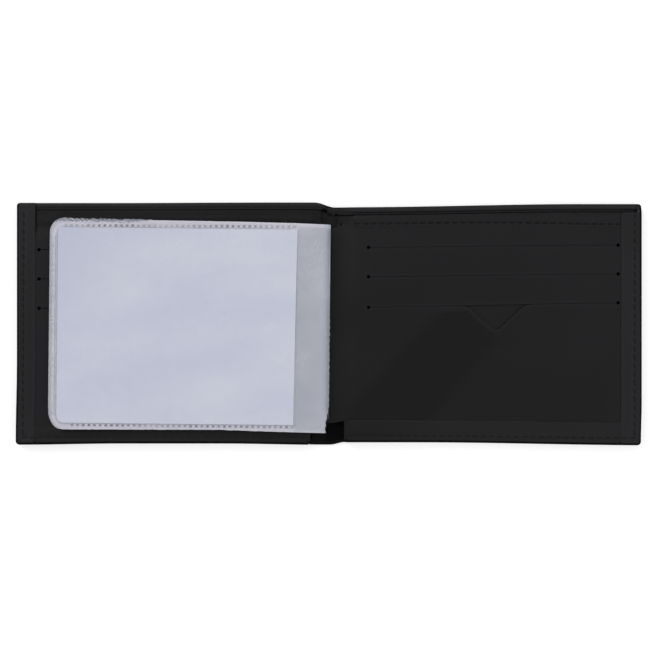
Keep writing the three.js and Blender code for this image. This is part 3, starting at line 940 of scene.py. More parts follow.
def fold_shaded(half, vertices, edge):
    """Tone of the inside, with painted shade where it is folded in at the top of the spine and, on the right
    half, painted shade along a streak that rises from the bottom near the spine, where the waved leather
    reflects less light."""
    u, y = vertices[:, 0], vertices[:, 1]
    shade = smooth((FOLD_SHADE[half.name] - u) / FOLD_SHADE_RUN)
    shade *= smooth((y - FOLD_SHADE_LOW) / FOLD_SHADE_RISE)
    if half.side > 0:
        first, last = LOW_STREAK_WIDTH
        away = smooth((rim_distance(vertices, sides_of(LOW_STREAK)) - first) / (last - first))
        below = y < slit_height(half, LOWEST_SLIT, u)
        edge = edge + LOW_SHADE * (1 - away) * below * (edge < LOW_SHADE_LIMIT)
    return edge - (edge - SPINE_SHADE) * shade


def cover(half):
    """Outer leather of a half and of the spine up to its middle, with the turned edge at the mouth."""
    outline = [(-half.spine, -HALF_HEIGHT), *half.low_corner, *half.high_corner, (-half.spine, HALF_HEIGHT)]
    if half.side < 0:
        middle, width, depth = NICK
        nick = [(middle - width, 0), (middle, depth), (middle + width, 0)]
        outline[1:1] = [(u, rise - HALF_HEIGHT) for u, rise in nick]

    def upper(plan, rim):
        u, y = plan[:, 0], plan[:, 1]
        turned = smooth((y - TOP_HEM_LOW) / TOP_HEM_STEP)
        turned *= smooth((half.length - EDGE_WALL - u) / TOP_HEM_STEP)
        top_rim = rim_distance(plan, half.top)
        free = smooth((half.length - BEAD_COVERED[half.name] + BEAD_UNDER - u) / TOP_HEM_STEP)
        ledge = MOUTH_FLOOR[half.name]
        bead = (BEAD_TOP - ledge) * (1 - smooth((top_rim - BEAD_WIDTH[half.name]) / BEAD_FALL))
        bead += (ledge - TOP_HEM_TOP) * (1 - smooth((top_rim - MOUTH_WIDTH[half.name]) / MOUTH_STEP))
        bead -= rolled(top_rim, *BEAD_ROLL)
        height = COVER_TOP + (TOP_HEM_TOP - COVER_TOP) * turned + bead * free
        if half.side < 0:
            low = smooth((BOTTOM_HEM_WIDTH - HALF_HEIGHT - y) / SPINE_HEM_STEP)
            low *= smooth((BOTTOM_HEM_START - u) / SPINE_HEM_STEP)
            low *= smooth((u + half.spine) / half.spine)
            bottom_rim = rim_distance(plan, half.bottom_and_end)
            height += low * (SPINE_HEM_TOP - COVER_TOP - rolled(bottom_rim, *SPINE_HEM_ROLL))
        return height

    def lower(plan, rim):
        stitched = groove(rim_distance(plan, half.bottom_and_end) - STITCH_MARGIN, *STITCH_GROOVE)
        creased = groove(plan[:, 0], *CREASE)
        return rolled(rim_distance(plan, half.perimeter), *COVER_ROLL) + stitched + creased

    vertices, faces, rim = sheet(outline, upper, lower, rings=HEM_RINGS)
    u, y = vertices[:, 0], vertices[:, 1]
    # Rims worn pale; painted shade on the outer rim, the spine strip, the left ledge and the bead by the
    # spine
    edge = rim_shaded(half, vertices, RIM_RUB * edge_share(rim))
    spine_strip_shade = smooth((BOTTOM_HEM_START - u) / SPINE_HEM_STEP) * smooth((TOP_HEM_LOW - y) / MOUTH_FADE)
    ledge = smooth((rim_distance(vertices, half.top) - LEDGE_START) / LEDGE_RUN)
    mouth = smooth((MOUTH_SHADE_START[half.name] - u) / MOUTH_SHADE_RUN)
    mouth *= smooth((y - TOP_HEM_LOW) / MOUTH_FADE)
    for tone_shift, share in ((SPINE_SHADE, spine_strip_shade), (LEDGE_SHADE[half.name], ledge), (MOUTH_SHADE, mouth)):
        edge = np.minimum(edge, tone_shift * upper_face(share))
    piece = half.piece("cover_leather", vertices, faces, COVER_LEATHER, "cover_leather", edge, EDGE_PAINT)
    half.bend(piece, *COVER_BEND)
    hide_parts(f"{half.name}_cover", f"{half.name}_top_hem")


def turned_tone_and_shade(half, name, vertices):
    """Tone of a turned edge's upper face: the end's grades from its top to its bottom; the bottom's is
    painted shade, darkest at the fold and fading out from it."""
    if name == "end":
        top, bottom = END_TONE[half.name]
        tone_shift = top + (bottom - top) * (HALF_HEIGHT - vertices[:, 1]) / (2 * HALF_HEIGHT)
    else:
        tone_shift = BOTTOM_SHADE * smooth((BOTTOM_SHADE_RUN - vertices[:, 0]) / BOTTOM_SHADE_RUN)
    return upper_face(tone_shift)


def on_line(side, line):
    """Whether both ends of a side are ends of a line."""
    return all(min(np.abs(point - np.array(end)).max() for end in line) < SAME_POINT for point in side)


def turned_edge(half, name, rim_line, lip_line, joint):
    """Edge of the cover turned over to the inside: a rolled wall, a stitched groove and a lip that is
    pared thin."""
    joint_sides = sides_of(joint)
    lip_sides = np.array([side for side in sides_of(lip_line) if not on_line(side, joint)])
    lip_bottom = HEM_TOP - HEM_THICKNESS
    pared = END_HEM_WIDTH[half.name] - STITCH_MARGIN

    def past_lip(plan):
        return smooth((plan[:, 1] - HALF_HEIGHT + HEM_END_DROP - HEM_END_START) / HEM_END_RUN)

    def upper(plan, rim):
        wall = rim_distance(plan, half.bottom_and_end)
        pressed = groove(wall - STITCH_MARGIN, *STITCH_GROOVE)
        pressed += HEM_SKIVE * smooth((wall - STITCH_MARGIN) / pared)
        edges = rolled(wall, *HEM_ROLL) + rolled(rim_distance(plan, lip_sides), *LIP_ROLL)
        edges += rolled(rim_distance(plan, joint_sides), *JOINT_ROLL)
        edges += rolled(rim_distance(plan, half.top), *BEAD_ROLL)
        drop = (HEM_TOP - BEAD_TOP) * past_lip(plan) if half.side > 0 else 0
        return HEM_TOP - pressed - edges - drop

    def lower(plan, rim):
        wall = rim_distance(plan, half.bottom_and_end)
        lip = np.where(past_lip(plan) > 0, TOP_HEM_TOP + HEM_END_GAP, lip_bottom)
        return np.where(wall < EDGE_WALL, COVER_TOP, lip)

    vertices, faces, _ = sheet([*rim_line, *lip_line[1:-1]], upper, lower, rings=HEM_RINGS)
    edge_tone = LIP_RUB * edge_share(rim_distance(vertices, lip_sides))
    edge_tone *= smooth((vertices[:, 0] - BOTTOM_HEM_START) / LIP_RUB_RUN)
    edge = rim_shaded(half, vertices, turned_tone_and_shade(half, name, vertices) + edge_tone)
    finish = (COVER_LEATHER, "cover_leather", edge, EDGE_PAINT)
    piece = half.piece(f"{name}_turned_edge", vertices, faces, *finish)
    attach(piece, half.body)
    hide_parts(f"{half.name}_{name}_hem")


def turned_edges(half):
    """The two turned edges that hold the inside; the bottom one is cut off square against the other."""
    inner = (half.length - END_HEM_WIDTH[half.name], BOTTOM_HEM_WIDTH - HALF_HEIGHT)
    joint = [(inner[0], -HALF_HEIGHT), inner]
    end_line = [joint[0], *half.low_corner, *half.high_corner]
    bead, top = half.length - BEAD_COVERED[half.name], HALF_HEIGHT - HEM_END_DROP
    end_lip = [end_line[-1], (bead, HALF_HEIGHT), (bead, top), (inner[0], top), inner, joint[0]]
    if half.side < 0:
        end_lip[1:4] = [(inner[0], HALF_HEIGHT)]
    turned_edge(half, "end", end_line, end_lip, joint)
    bottom_line = [(BOTTOM_HEM_START, -HALF_HEIGHT), joint[0]]
    bottom_lip = [joint[0], inner, (BOTTOM_HEM_START, inner[1]), bottom_line[0]]
    turned_edge(half, "bottom", bottom_line, bottom_lip, joint)


def dip(half, u, y):
    """How far the inner leather has sunk near the fold and along its top, where no pocket holds it up."""
    first, last = TOP_SINK_RUN
    top = TOP_SINK[half.name] * smooth((y - first) / (last - first))
    return PANEL_DIP * smooth((DIP_START - u) / DIP_RUN) * (1 - DIP_EASED * top) + top


def slit_height(half, row, u):
    """Height of a card slit at u."""
    first, last = SLIT_ENDS[half.name]
    start, end = SLIT_HEIGHTS[half.name][row]
    return start + (end - start) * (u - first) / (last - first)


def slit(half, row):
    """Outline of a card slit with a punched hole at each end, and a thumb notch in the lowest one's lip."""
    first, last = SLIT_ENDS[half.name]
    lip = SLIT_WIDTH[half.name] / 2
    angle = math.degrees(math.asin(lip / HOLE_RADIUS))
    loop = arc((first, 0), HOLE_RADIUS, angle, 360 - angle, 2 * ARC_STEPS)
    if row == LOWEST_SLIT:
        loop += notch_line(NOTCH_MIDDLE[half.name], -lip)
    loop += arc((last, 0), HOLE_RADIUS, angle - 180, 180 - angle, 2 * ARC_STEPS)
    return [(u, y + slit_height(half, row, u)) for u, y in loop]


def notch_line(middle, lip):
    """V-shaped thumb notch with softened corners."""
    wing = NOTCH_WIDTH / 2
    slope = np.array((wing, NOTCH_DEPTH))
    slope *= NOTCH_ROUNDING / np.linalg.norm(slope)
    corners = [(middle - wing, lip), (middle, lip - NOTCH_DEPTH), (middle + wing, lip)]
    ways = [((-NOTCH_ROUNDING, 0), (slope[0], -slope[1])),
            ((-slope[0], slope[1]), (slope[0], slope[1])),
            ((-slope[0], -slope[1]), (NOTCH_ROUNDING, 0))]
    line = []
    for corner, (before, after) in zip(corners, ways):
        for share in np.linspace(0, 1, ARC_STEPS + 1):
            back, on = (1 - share) ** 2, share ** 2
            line.append((corner[0] + before[0] * back + after[0] * on,
                         corner[1] + before[1] * back + after[1] * on))
    return line


def sagged(plan):
    """How far a slot panel waves up and down."""
    return PANEL_SAG * ripple(plan, PANEL_SAG_LENGTH, PANEL_SEED)


def slot_panel(half):
    """Inner leather of a half with its card slits, sunk towards the spine."""
    spine, end = -PANEL_REACH[half.name], half.length - EDGE_WALL - PANEL_END_GAP
    strip = -PANEL_TOP_REACH[half.name]
    outline = [(spine, SPINE_CUT_Y), (0, SPINE_CUT_Y), (0, PANEL_LOW[1]), (end, PANEL_LOW[1])]
    high = PANEL_HIGH[1] - BINDING_DROP[half.name]
    outline += [(end, high), (strip, high)]
    if spine < strip:
        outline += [(strip, SHOULDER[0]), (spine, SHOULDER[1])]
    holes = [slit(half, row) for row in range(SLIT_ROWS)]
    if half.side > 0:
        holes.append(arc(SEAM_HOLE, SEAM_HOLE_RADIUS, 0, 360 - 360 / HOLE_SIDES, HOLE_SIDES - 1))
    first, last = SLIT_ENDS[half.name]

    def lips(plan):
        raised = np.zeros(len(plan))
        share = (plan[:, 0] - first) / (last - first)
        taper = smooth(share * LIP_TAPER) * smooth((1 - share) * LIP_TAPER)
        for row in range(SLIT_ROWS):
            below = slit_height(half, row, plan[:, 0]) - plan[:, 1]
            raised += LIP_RAISE * taper * np.where(below > 0, np.exp(-np.abs(below) / LIP_FADE), 0)
        return raised

    def relief(plan):
        free = smooth((rim_distance(plan, half.perimeter) - HELD_RIM) / FREE_RUN)
        return (lips(plan) + sagged(plan)) * free

    def upper(plan, rim):
        return PANEL_HIGH[2] + relief(plan) - dip(half, *plan.T) - rolled(rim, *PANEL_ROLL)

    def lower(plan, rim):
        return PANEL_LOW[2] + relief(plan) - dip(half, *plan.T)

    vertices, faces, rim = sheet(outline, upper, lower, holes)
    # Painted light on the left panel, and painted shade on its sunk strip under the binding
    sunk = smooth((vertices[:, 1] - SUNK_START) / SUNK_RUN)
    tone_shift = PANEL_BOUNCE_LIGHT[half.name] + (SUNK_SHADE[half.name] - PANEL_BOUNCE_LIGHT[half.name]) * sunk
    edge = fold_shaded(half, vertices, tone_shift + (1 - tone_shift) * edge_share(rim))
    piece = half.piece("slot_leather", vertices, faces, PANEL_LEATHER, "panel_leather", edge)
    half.bend(piece, *INNER_BEND)
    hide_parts(f"{half.name}_slot_panel")


def notch_facing(half):
    """Leather strip on the lowest pocket sheet, which shows through the thumb notch."""
    first, last = SLIT_ENDS[half.name]
    height = min(SLIT_HEIGHTS[half.name][LOWEST_SLIT])
    bottom, top = height - NOTCH_DEPTH - FACING_DEPTH, height + FACING_MARGIN
    outline = rectangle(first + FACING_MARGIN, last - FACING_MARGIN, bottom, top)

    def upper(plan, rim):
        return PANEL_LOW[2] - FACING_GAP + sagged(plan)

    def lower(plan, rim):
        return upper(plan, rim) - FACING_THICKNESS

    vertices, faces, rim = sheet(outline, upper, lower, rings=STRIP_RINGS, grid=COARSE_GRID)
    piece = half.piece("notch_facing", vertices, faces, PANEL_LEATHER, "panel_leather", edge_share(rim))
    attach(piece, half.body)


def binding_stitch_y(half, u):
    """Height of the binding's stitches, which run a little downhill towards the end of the right half."""
    first, last = BINDING_STITCH_RUN
    return BINDING_STITCH_Y[half.name] - BINDING_STITCH_SAG[half.name] * smooth((u - first) / (last - first))


def binding(half):
    """Leather strip folded over the top edges of the inside, pared thin along its lower edge."""
    high = BINDING_HIGH[1] - BINDING_DROP[half.name]
    back, front = BINDING_LOW[2], BINDING_HIGH[2]
    inner = high - BINDING_STRIP
    roll, (front_run, front_drop) = BINDING_ROLL, BINDING_FRONT_ROLL[half.name]

    def section(stitch_y):
        low = stitch_y - BINDING_MARGIN
        line = [(low, front - BINDING_STRIP), (low, front - BINDING_STRIP + BINDING_PARED / 2)]
        start = low + BINDING_PARED_START
        for y in np.linspace(start, high - front_run - BINDING_FRONT_GAP, BINDING_STEPS):
            thick = smooth((y - low - BINDING_PARED_START) / BINDING_PARED_RUN)
            pared = (BINDING_STRIP - BINDING_PARED) * (1 - thick)
            line.append((y, front - pared - groove(y - stitch_y, *BINDING_GROOVE[half.name])))
        for y, z in arc((0, 0), 1, 90, 0):
            line.append((high + (y - 1) * front_run, front + (z - 1) * front_drop))
        line += arc((high - roll, back + roll), roll, 0, -90)
        line += [(low, back), (low, back + BINDING_STRIP)]
        return line + [(inner, back + BINDING_STRIP), (inner, front - BINDING_STRIP)]

    end = half.length - END_HEM_WIDTH[half.name] - BINDING_END_GAP
    rings = []
    for u in np.linspace(-BINDING_REACH[half.name], end, LENGTH_STEPS):
        share = (front - back - float(dip(half, u, high))) / (front - back)
        rings.append([(u, y, back + (z - back) * share) for y, z in section(binding_stitch_y(half, u))])
    vertices, faces = lofted(rings)
    faces = [face[::-1] for face in faces]
    edge = np.full(len(vertices), BINDING_WEAR[half.name])
    # Painted shade below the binding's rolled top edge
    from_top = high - vertices[:, 1]
    edge -= BINDING_SHADE[half.name] * (1 - smooth(from_top / BINDING_SHADE_WIDTH[half.name]))
    edge = fold_shaded(half, vertices, edge)
    piece = half.piece("binding_leather", vertices, faces, PANEL_LEATHER, "panel_leather", edge)
    half.bend(piece, *INNER_BEND)
    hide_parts(f"{half.name}_top_binding")


def spine_leather():
    """Inner leather at the spine, cut short at the bottom so that the wallet can fold."""
    outline = rectangle(SPINE_WALL_LOW[0], SPINE_WALL_HIGH[0], SPINE_WALL_LOW[1], SPINE_WALL_HIGH[1])
    top_sink, bottom_sink = SPINE_LEATHER_SINK

    def upper(plan, rim):
        return SPINE_WALL_HIGH[2] - top_sink - rolled(rim, *PANEL_ROLL)

    def lower(plan, rim):
        return np.full(len(plan), SPINE_WALL_LOW[2] - bottom_sink)

    vertices, faces, _ = sheet(outline, upper, lower)
    # The spine's inner leather is darkened all over: painted shade
    edge = np.full(len(vertices), SPINE_SHADE)
    piece = made("spine_inner_leather", lying(vertices), faces, PANEL_LEATHER, "panel_leather", edge)
    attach(piece, "spine")
    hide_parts("spine_inner_wall")


# Cloth inside the leather


def cloth(half, kind, outline, bottom, top, seed):
    """Thin cloth over an outline, lying a little unevenly between two heights."""
    middle = (bottom + top) / 2
    thick = (top - bottom) * CLOTH_SHARE

    def stirred(plan):
        return (top - bottom) * CLOTH_STIR * ripple(plan, CLOTH_WAVE, seed)

    def upper(plan, rim):
        return middle + thick / 2 + stirred(plan)

    def lower(plan, rim):
        return middle - thick / 2 + stirred(plan)

    vertices, faces, _ = sheet(outline, upper, lower, rings=CLOTH_RINGS, grid=COARSE_GRID)
    return half.piece(kind, vertices, faces, LINING_CLOTH, "lining_cloth")


def linings(half):
    """Lining of the bill compartment, its inner wall and the sheets behind the card slits."""
    end = half.length - EDGE_WALL - LINING_END_GAP
    outline = rectangle(-half.spine, end, LINING_LOW[1], LINING_HIGH[1])
    if half.side < 0:
        start, spine_low = BOTTOM_HEM_START, BOTTOM_HEM_WIDTH - HALF_HEIGHT + LINING_HEM_GAP
        outline[:1] = [(-half.spine, spine_low), (start, spine_low), (start, LINING_LOW[1])]
    lining = cloth(half, "bill_cloth", outline, LINING_LOW[2], LINING_HIGH[2], LINING_SEED)
    half.bend(lining, *COVER_BEND)
    replaced = [f"{half.name}_bill_lining"] + (["spine_bill_lining"] if half.side < 0 else [])
    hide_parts(*replaced)

    u = sorted(abs(corner[0] - half.fold) for corner in reach(f"{half.name}_inner_wall"))
    outline = rectangle(*u, WALL_LOW[1], WALL_HIGH[1] - BINDING_DROP[half.name])
    wall = cloth(half, "wall_cloth", outline, WALL_LOW[2], WALL_HIGH[2], WALL_SEED)
    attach(wall, half.body)
    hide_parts(f"{half.name}_inner_wall")

    for row in range(1, SLIT_ROWS + 1):
        low, high = reach(f"left_pocket_sheet_{row}")
        u = sorted(abs(corner[0] - half.fold) for corner in reach(f"{half.name}_pocket_sheet_{row}"))
        outline = rectangle(*u, low[1], high[1])
        pocket = cloth(half, f"pocket_cloth_{row}", outline, low[2], high[2], POCKET_SEED + row)
        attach(pocket, half.body)
        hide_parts(f"{half.name}_pocket_sheet_{row}")


# Rows that repeat along a line

def row_tree(name, sizes):
    """Empty geometry tree with a line in, named sizes and a material, and a mesh out."""
    tree = bpy.data.node_groups.new(name, "GeometryNodeTree")
    tree.interface.new_socket("Line", in_out="INPUT", socket_type="NodeSocketGeometry")
    for size in sizes:
        tree.interface.new_socket(size, in_out="INPUT", socket_type="NodeSocketFloat")
    tree.interface.new_socket("Material", in_out="INPUT", socket_type="NodeSocketMaterial")
    tree.interface.new_socket("Mesh", in_out="OUTPUT", socket_type="NodeSocketGeometry")
    return tree, add(tree, "NodeGroupInput").outputs


def uneven(tree, given):
    """Random sizes up to 1, one for each copy; the looser the row is, the smaller the smallest."""
    smallest = combined(tree, 1.0, combined(tree, given["Loose"], LOOSE_SHRINK, "MULTIPLY"), "SUBTRACT")
    return add(tree, "FunctionNodeRandomValue", {2: smallest, 3: 1.0, "Seed": ROW_SEED}).outputs[1]


def along_line(tree, given, instance, turn):
    """Copies of an instance at each pitch along the line, turned to follow it and about their own height."""
    curve = add(tree, "GeometryNodeMeshToCurve", {"Mesh": given["Line"]}).outputs[0]
    spacing = {"Curve": curve, "Length": given["Pitch"]}
    spaced = add(tree, "GeometryNodeResampleCurve", spacing, mode="LENGTH").outputs[0]
    tangent = add(tree, "GeometryNodeInputTangent").outputs[0]
    facing = add(tree, "FunctionNodeAlignRotationToVector", {"Vector": tangent}, axis="X").outputs[0]
    spin = add(tree, "FunctionNodeAxisAngleToRotation", {"Axis": (0, 0, 1), "Angle": turn}).outputs[0]
    turns = {"Rotation": facing, "Rotate By": spin}
    rotation = add(tree, "FunctionNodeRotateRotation", turns, rotation_space="LOCAL").outputs[0]
    copies = {"Points": spaced, "Instance": instance, "Rotation": rotation, "Scale": uneven(tree, given)}
    return add(tree, "GeometryNodeInstanceOnPoints", copies).outputs[0]


def row_ends(tree, given, copies):
    """Turns the copies into one smooth mesh with the row's material."""
    real = add(tree, "GeometryNodeRealizeInstances", {"Geometry": copies}).outputs[0]
    soft = add(tree, "GeometryNodeSetShadeSmooth", {"Geometry": real}).outputs[0]
    finish = {"Geometry": soft, "Material": given["Material"]}
    covered = add(tree, "GeometryNodeSetMaterial", finish).outputs[0]
    add(tree, "NodeGroupOutput", {"Mesh": covered})
    return tree


def stitch_tree():
    """Row of stitches: each a thread that dives into the leather at both ends, a little aslant."""
    tree, given = row_tree("stitch_row", ("Pitch", "Length", "Width", "Height", "Slant", "Loose"))
    bead = {"Segments": BEAD_SIDES, "Rings": BEAD_RINGS, "Radius": 1 / 2}
    bead = add(tree, "GeometryNodeMeshUVSphere", bead).outputs[0]
    size = {"X": given["Length"], "Y": given["Width"], "Z": given["Height"]}
    size = add(tree, "ShaderNodeCombineXYZ", size).outputs[0]
    thread = add(tree, "GeometryNodeTransform", {"Geometry": bead, "Scale": size}).outputs[0]
    return row_ends(tree, given, along_line(tree, given, thread, given["Slant"]))


def seal_tree():
    """Row of small crosses that a sealing die presses into the film."""
    tree, given = row_tree("seal_row", ("Pitch", "Radius", "Height", "Turn", "Loose"))
    arm = combined(tree, given["Radius"], CROSS_ARM, "MULTIPLY")
    star = {"Points": 4, "Inner Radius": arm, "Outer Radius": given["Radius"]}
    star = add(tree, "GeometryNodeCurveStar", star).outputs[0]
    filled = add(tree, "GeometryNodeFillCurve", {"Curve": star}).outputs[0]
    raised = {"Mesh": filled, "Offset Scale": given["Height"], "Individual": False}
    raised = add(tree, "GeometryNodeExtrudeMesh", raised).outputs[0]
    both = add(tree, "GeometryNodeJoinGeometry")
    under = add(tree, "GeometryNodeFlipFaces", {"Mesh": filled}).outputs[0]
    for side in (raised, under):
        tree.links.new(side, both.inputs[0])
    seam = {"Geometry": both.outputs[0], "Distance": WELDED_POINT}
    closed = add(tree, "GeometryNodeMergeByDistance", seam).outputs[0]
    return row_ends(tree, given, along_line(tree, given, closed, given["Turn"]))


STITCH_ROW = stitch_tree()
SEAL_ROW = seal_tree()


def row(name, tree, lines, material, slot, **sizes):
    """Piece made by a row tree along lines of points; sizes are in metres and radians."""
    points = np.concatenate([np.array(line, float) for line in lines]) * MM
    edges, first = [], 0
    for line in lines:
        edges += [(first + i, first + i + 1) for i in range(len(line) - 1)]
        first += len(line)
    mesh = bpy.data.meshes.new(f"{name}_line")
    mesh.from_pydata(points.tolist(), edges, [])
    carrier = linked(f"{name}_line", mesh)
    modifier = carrier.modifiers.new("row", "NODES")
    modifier.node_group = tree
    values = {**sizes, "Material": material}
    for socket in tree.interface.items_tree:
        if socket.in_out == "INPUT" and socket.name in values:
            modifier[socket.identifier] = values[socket.name]
    evaluated = carrier.evaluated_get(bpy.context.evaluated_depsgraph_get())
    piece = linked(name, bpy.data.meshes.new_from_object(evaluated))
    carrier.modifiers.clear()
    bpy.data.objects.remove(carrier)
    return piece


def stitches(half, kind, lines, thread, side=1):
    """Stitches along lines in a half's layout, on the inside for side 1 or on the outside for side -1."""
    lines = [half.placed(line)[0] for line in lines]
    slant = math.radians(STITCH_SLANT) * side
    sizes = {"Pitch": STITCH_PITCH * MM, "Length": STITCH_LENGTH * MM, "Width": THREAD_WIDTH * MM,
             "Height": THREAD_HEIGHT * MM, "Slant": slant, "Loose": STITCH_LOOSE}
    return row(f"{half.name}_{kind}_stitches", STITCH_ROW, lines, thread, "thread", **sizes)


def seams(half):
    """The three seams of a half, and the same stitches where the two outer seams show on the outside."""
    end_u = half.length - STITCH_MARGIN
    bottom_y = STITCH_MARGIN - HALF_HEIGHT
    high_y = HALF_HEIGHT - HEM_END_DROP - STITCH_LENGTH / 2
    level = HEM_TOP - STITCH_GROOVE[1] + THREAD_PROUD["hem"]
    lines = {
        "end": [(end_u, bottom_y + END_SEAM_START, level), (end_u, high_y, level)],
        "bottom": [(BOTTOM_SEAM_START, bottom_y, level), (end_u - BOTTOM_SEAM_GAP, bottom_y, level)],
    }
    for name, line in lines.items():
        seam = stitches(half, name, [line], HEM_THREAD)
        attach(seam, half.body)
        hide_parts(f"{half.name}_{name}_seam")

    level = BINDING_HIGH[2] - BINDING_GROOVE[half.name][1] + THREAD_PROUD["binding"]
    start = TOP_SEAM_START - BINDING_REACH[half.name]
    end = half.length - END_HEM_WIDTH[half.name] - TOP_SEAM_GAP
    line = []
    for u in np.linspace(start, end, LENGTH_STEPS):
        line.append((u, binding_stitch_y(half, u), level - float(dip(half, u, BINDING_HIGH[1]))))
    seam = stitches(half, "top", [line], BINDING_THREAD[half.name])
    half.bend(seam, *INNER_BEND)
    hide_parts(f"{half.name}_top_seam")

    level = STITCH_GROOVE[1] + THREAD_PROUD["outside"]
    outside = [[(u, y, level) for u, y, _ in line] for line in lines.values()]
    seam = stitches(half, "outer", outside, HEM_THREAD, side=-1)
    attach(seam, half.body)


# Photo insert

TURN = Matrix.Rotation(math.radians(-INSERT_TURN), 3, "Z")


def insert_placed(vertices, faces=()):
    """Vertices of a piece of the insert, taken from its layout to the wallet."""
    vertices = np.array(vertices, float) @ np.array(TURN).T
    vertices[:, 1] += HINGE[1]
    return vertices, faces


def along(edge, x):
    """Height of an edge line of the insert at x."""
    return np.interp(x, *np.transpose(edge))


def stands_out(x):
    """How far the rearmost leaf stands out above the front one at x."""
    return along(REAR_TOP, x) - along(FRONT_TOP, x)


def top_edge(leaf, x):
    """Height of a leaf's top edge: lower leaves stand out above the front one towards the left."""
    return along(FRONT_TOP, x) + stands_out(x) * (LEAF_COUNT - leaf) / (LEAF_COUNT - 1)


def leaf_left(leaf):
    """Left end of a leaf: lower leaves stand out there too."""
    return -LEAF_WIDTH - LEAF_FAN * (LEAF_COUNT - leaf)


def leaf_bottom(leaf):
    """Height of a leaf's underside."""
    return reach(f"leaf_{leaf}_back_film")[0][2]


def leaf_outline(leaf, right):
    """Outline of a leaf from its rounded outer edge to x = right, ragged where lower leaves stand out."""
    high_round, low_round = LEAF_CORNERS
    high_x, low_x = leaf_left(leaf) + high_round, leaf_left(leaf) + low_round
    random = np.random.default_rng(LEAF_CUT_SEED + leaf)
    loop = []
    for x in np.arange(low_x, right, LOW_CUT_STEP):
        loop.append((x, along(LEAF_BOTTOM, x) + LOW_CUT_WANDER * random.normal()))
    loop += [(right, along(LEAF_BOTTOM, right)), (right, top_edge(leaf, right))]
    for x in np.arange(right - TOP_CUT_STEP, high_x, -TOP_CUT_STEP):
        wander = TOP_CUT_WANDER + STANDING_WANDER * stands_out(x)
        loop.append((x, top_edge(leaf, x) + wander * random.normal()))
    loop += arc((high_x, top_edge(leaf, high_x) - high_round), high_round, 90, 180)
    low_corner = arc((low_x, low_round), low_round, 180, 270)
    loop += [(x, along(LEAF_BOTTOM, low_x) + LOW_CORNER_STRETCH * rise) for x, rise in low_corner]
    return loop


def slip_outline(leaf, right):
    """Outline of the slip in a leaf's sleeve, as far as x = right."""
    lift = SLIP_RISE + SLIP_LIFT * (LEAF_COUNT - leaf)
    low, high = lift - SLIP_HALF, lift + SLIP_HALF
    high_round, low_round = SLIP_CORNERS
    outline = [(right - SLIP_SLANT, low), (right, high)]
    outline += arc((SLIP_LEFT + high_round, high - high_round), high_round, 90, 180)
    outline += arc((SLIP_LEFT + low_round, low + low_round), low_round, 180, 270)
    return outline


def sleeve(leaf):
    """Clear sleeve of a leaf: a flat back film, and a front film that is welded to it on three sides and
    lies over the slip between them."""
    outline = leaf_outline(leaf, -GUTTER_WIDTH)
    bottom = leaf_bottom(leaf)
    slip_sides = sides_of(slip_outline(leaf, 0), closed=True)

    def from_slip(plan):
        return np.where(inside(plan, slip_sides), 0, rim_distance(plan, slip_sides))

    def back_bottom(plan, rim):
        return np.full(len(plan), bottom)

    def back_top(plan, rim):
        return back_bottom(plan, rim) + FILM_THICKNESS

    def front_bottom(plan, rim):
        clear, run = FILM_FALL
        rise = 1 - smooth((from_slip(plan) - clear) / run)
        stir = FILM_STIR * ripple(plan, FILM_WAVE, SLEEVE_SEED + leaf)
        return bottom + FILM_THICKNESS + FILM_GAP + (FILM_RISE + stir) * rise

    def front_top(plan, rim):
        return front_bottom(plan, rim) + FILM_THICKNESS

    for name, upper, lower in (("back", back_top, back_bottom), ("front", front_top, front_bottom)):
        vertices, faces, _ = sheet(outline, upper, lower, rings=FILM_RINGS, grid=FILM_GRID)
        haze = smooth((from_slip(vertices) - WELD_START) / WELD_RUN)
        if leaf < LEAF_COUNT:
            above_front = vertices[:, 1] - along(FRONT_TOP, vertices[:, 0])
            haze -= STANDING_CLEAR * smooth(above_front / STANDING_RUN)
        piece = made(f"leaf_{leaf}_{name}_sleeve", *insert_placed(vertices, faces), FILM, "film", haze)
        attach(piece, f"leaf_{leaf}")
        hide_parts(f"leaf_{leaf}_{name}_film")


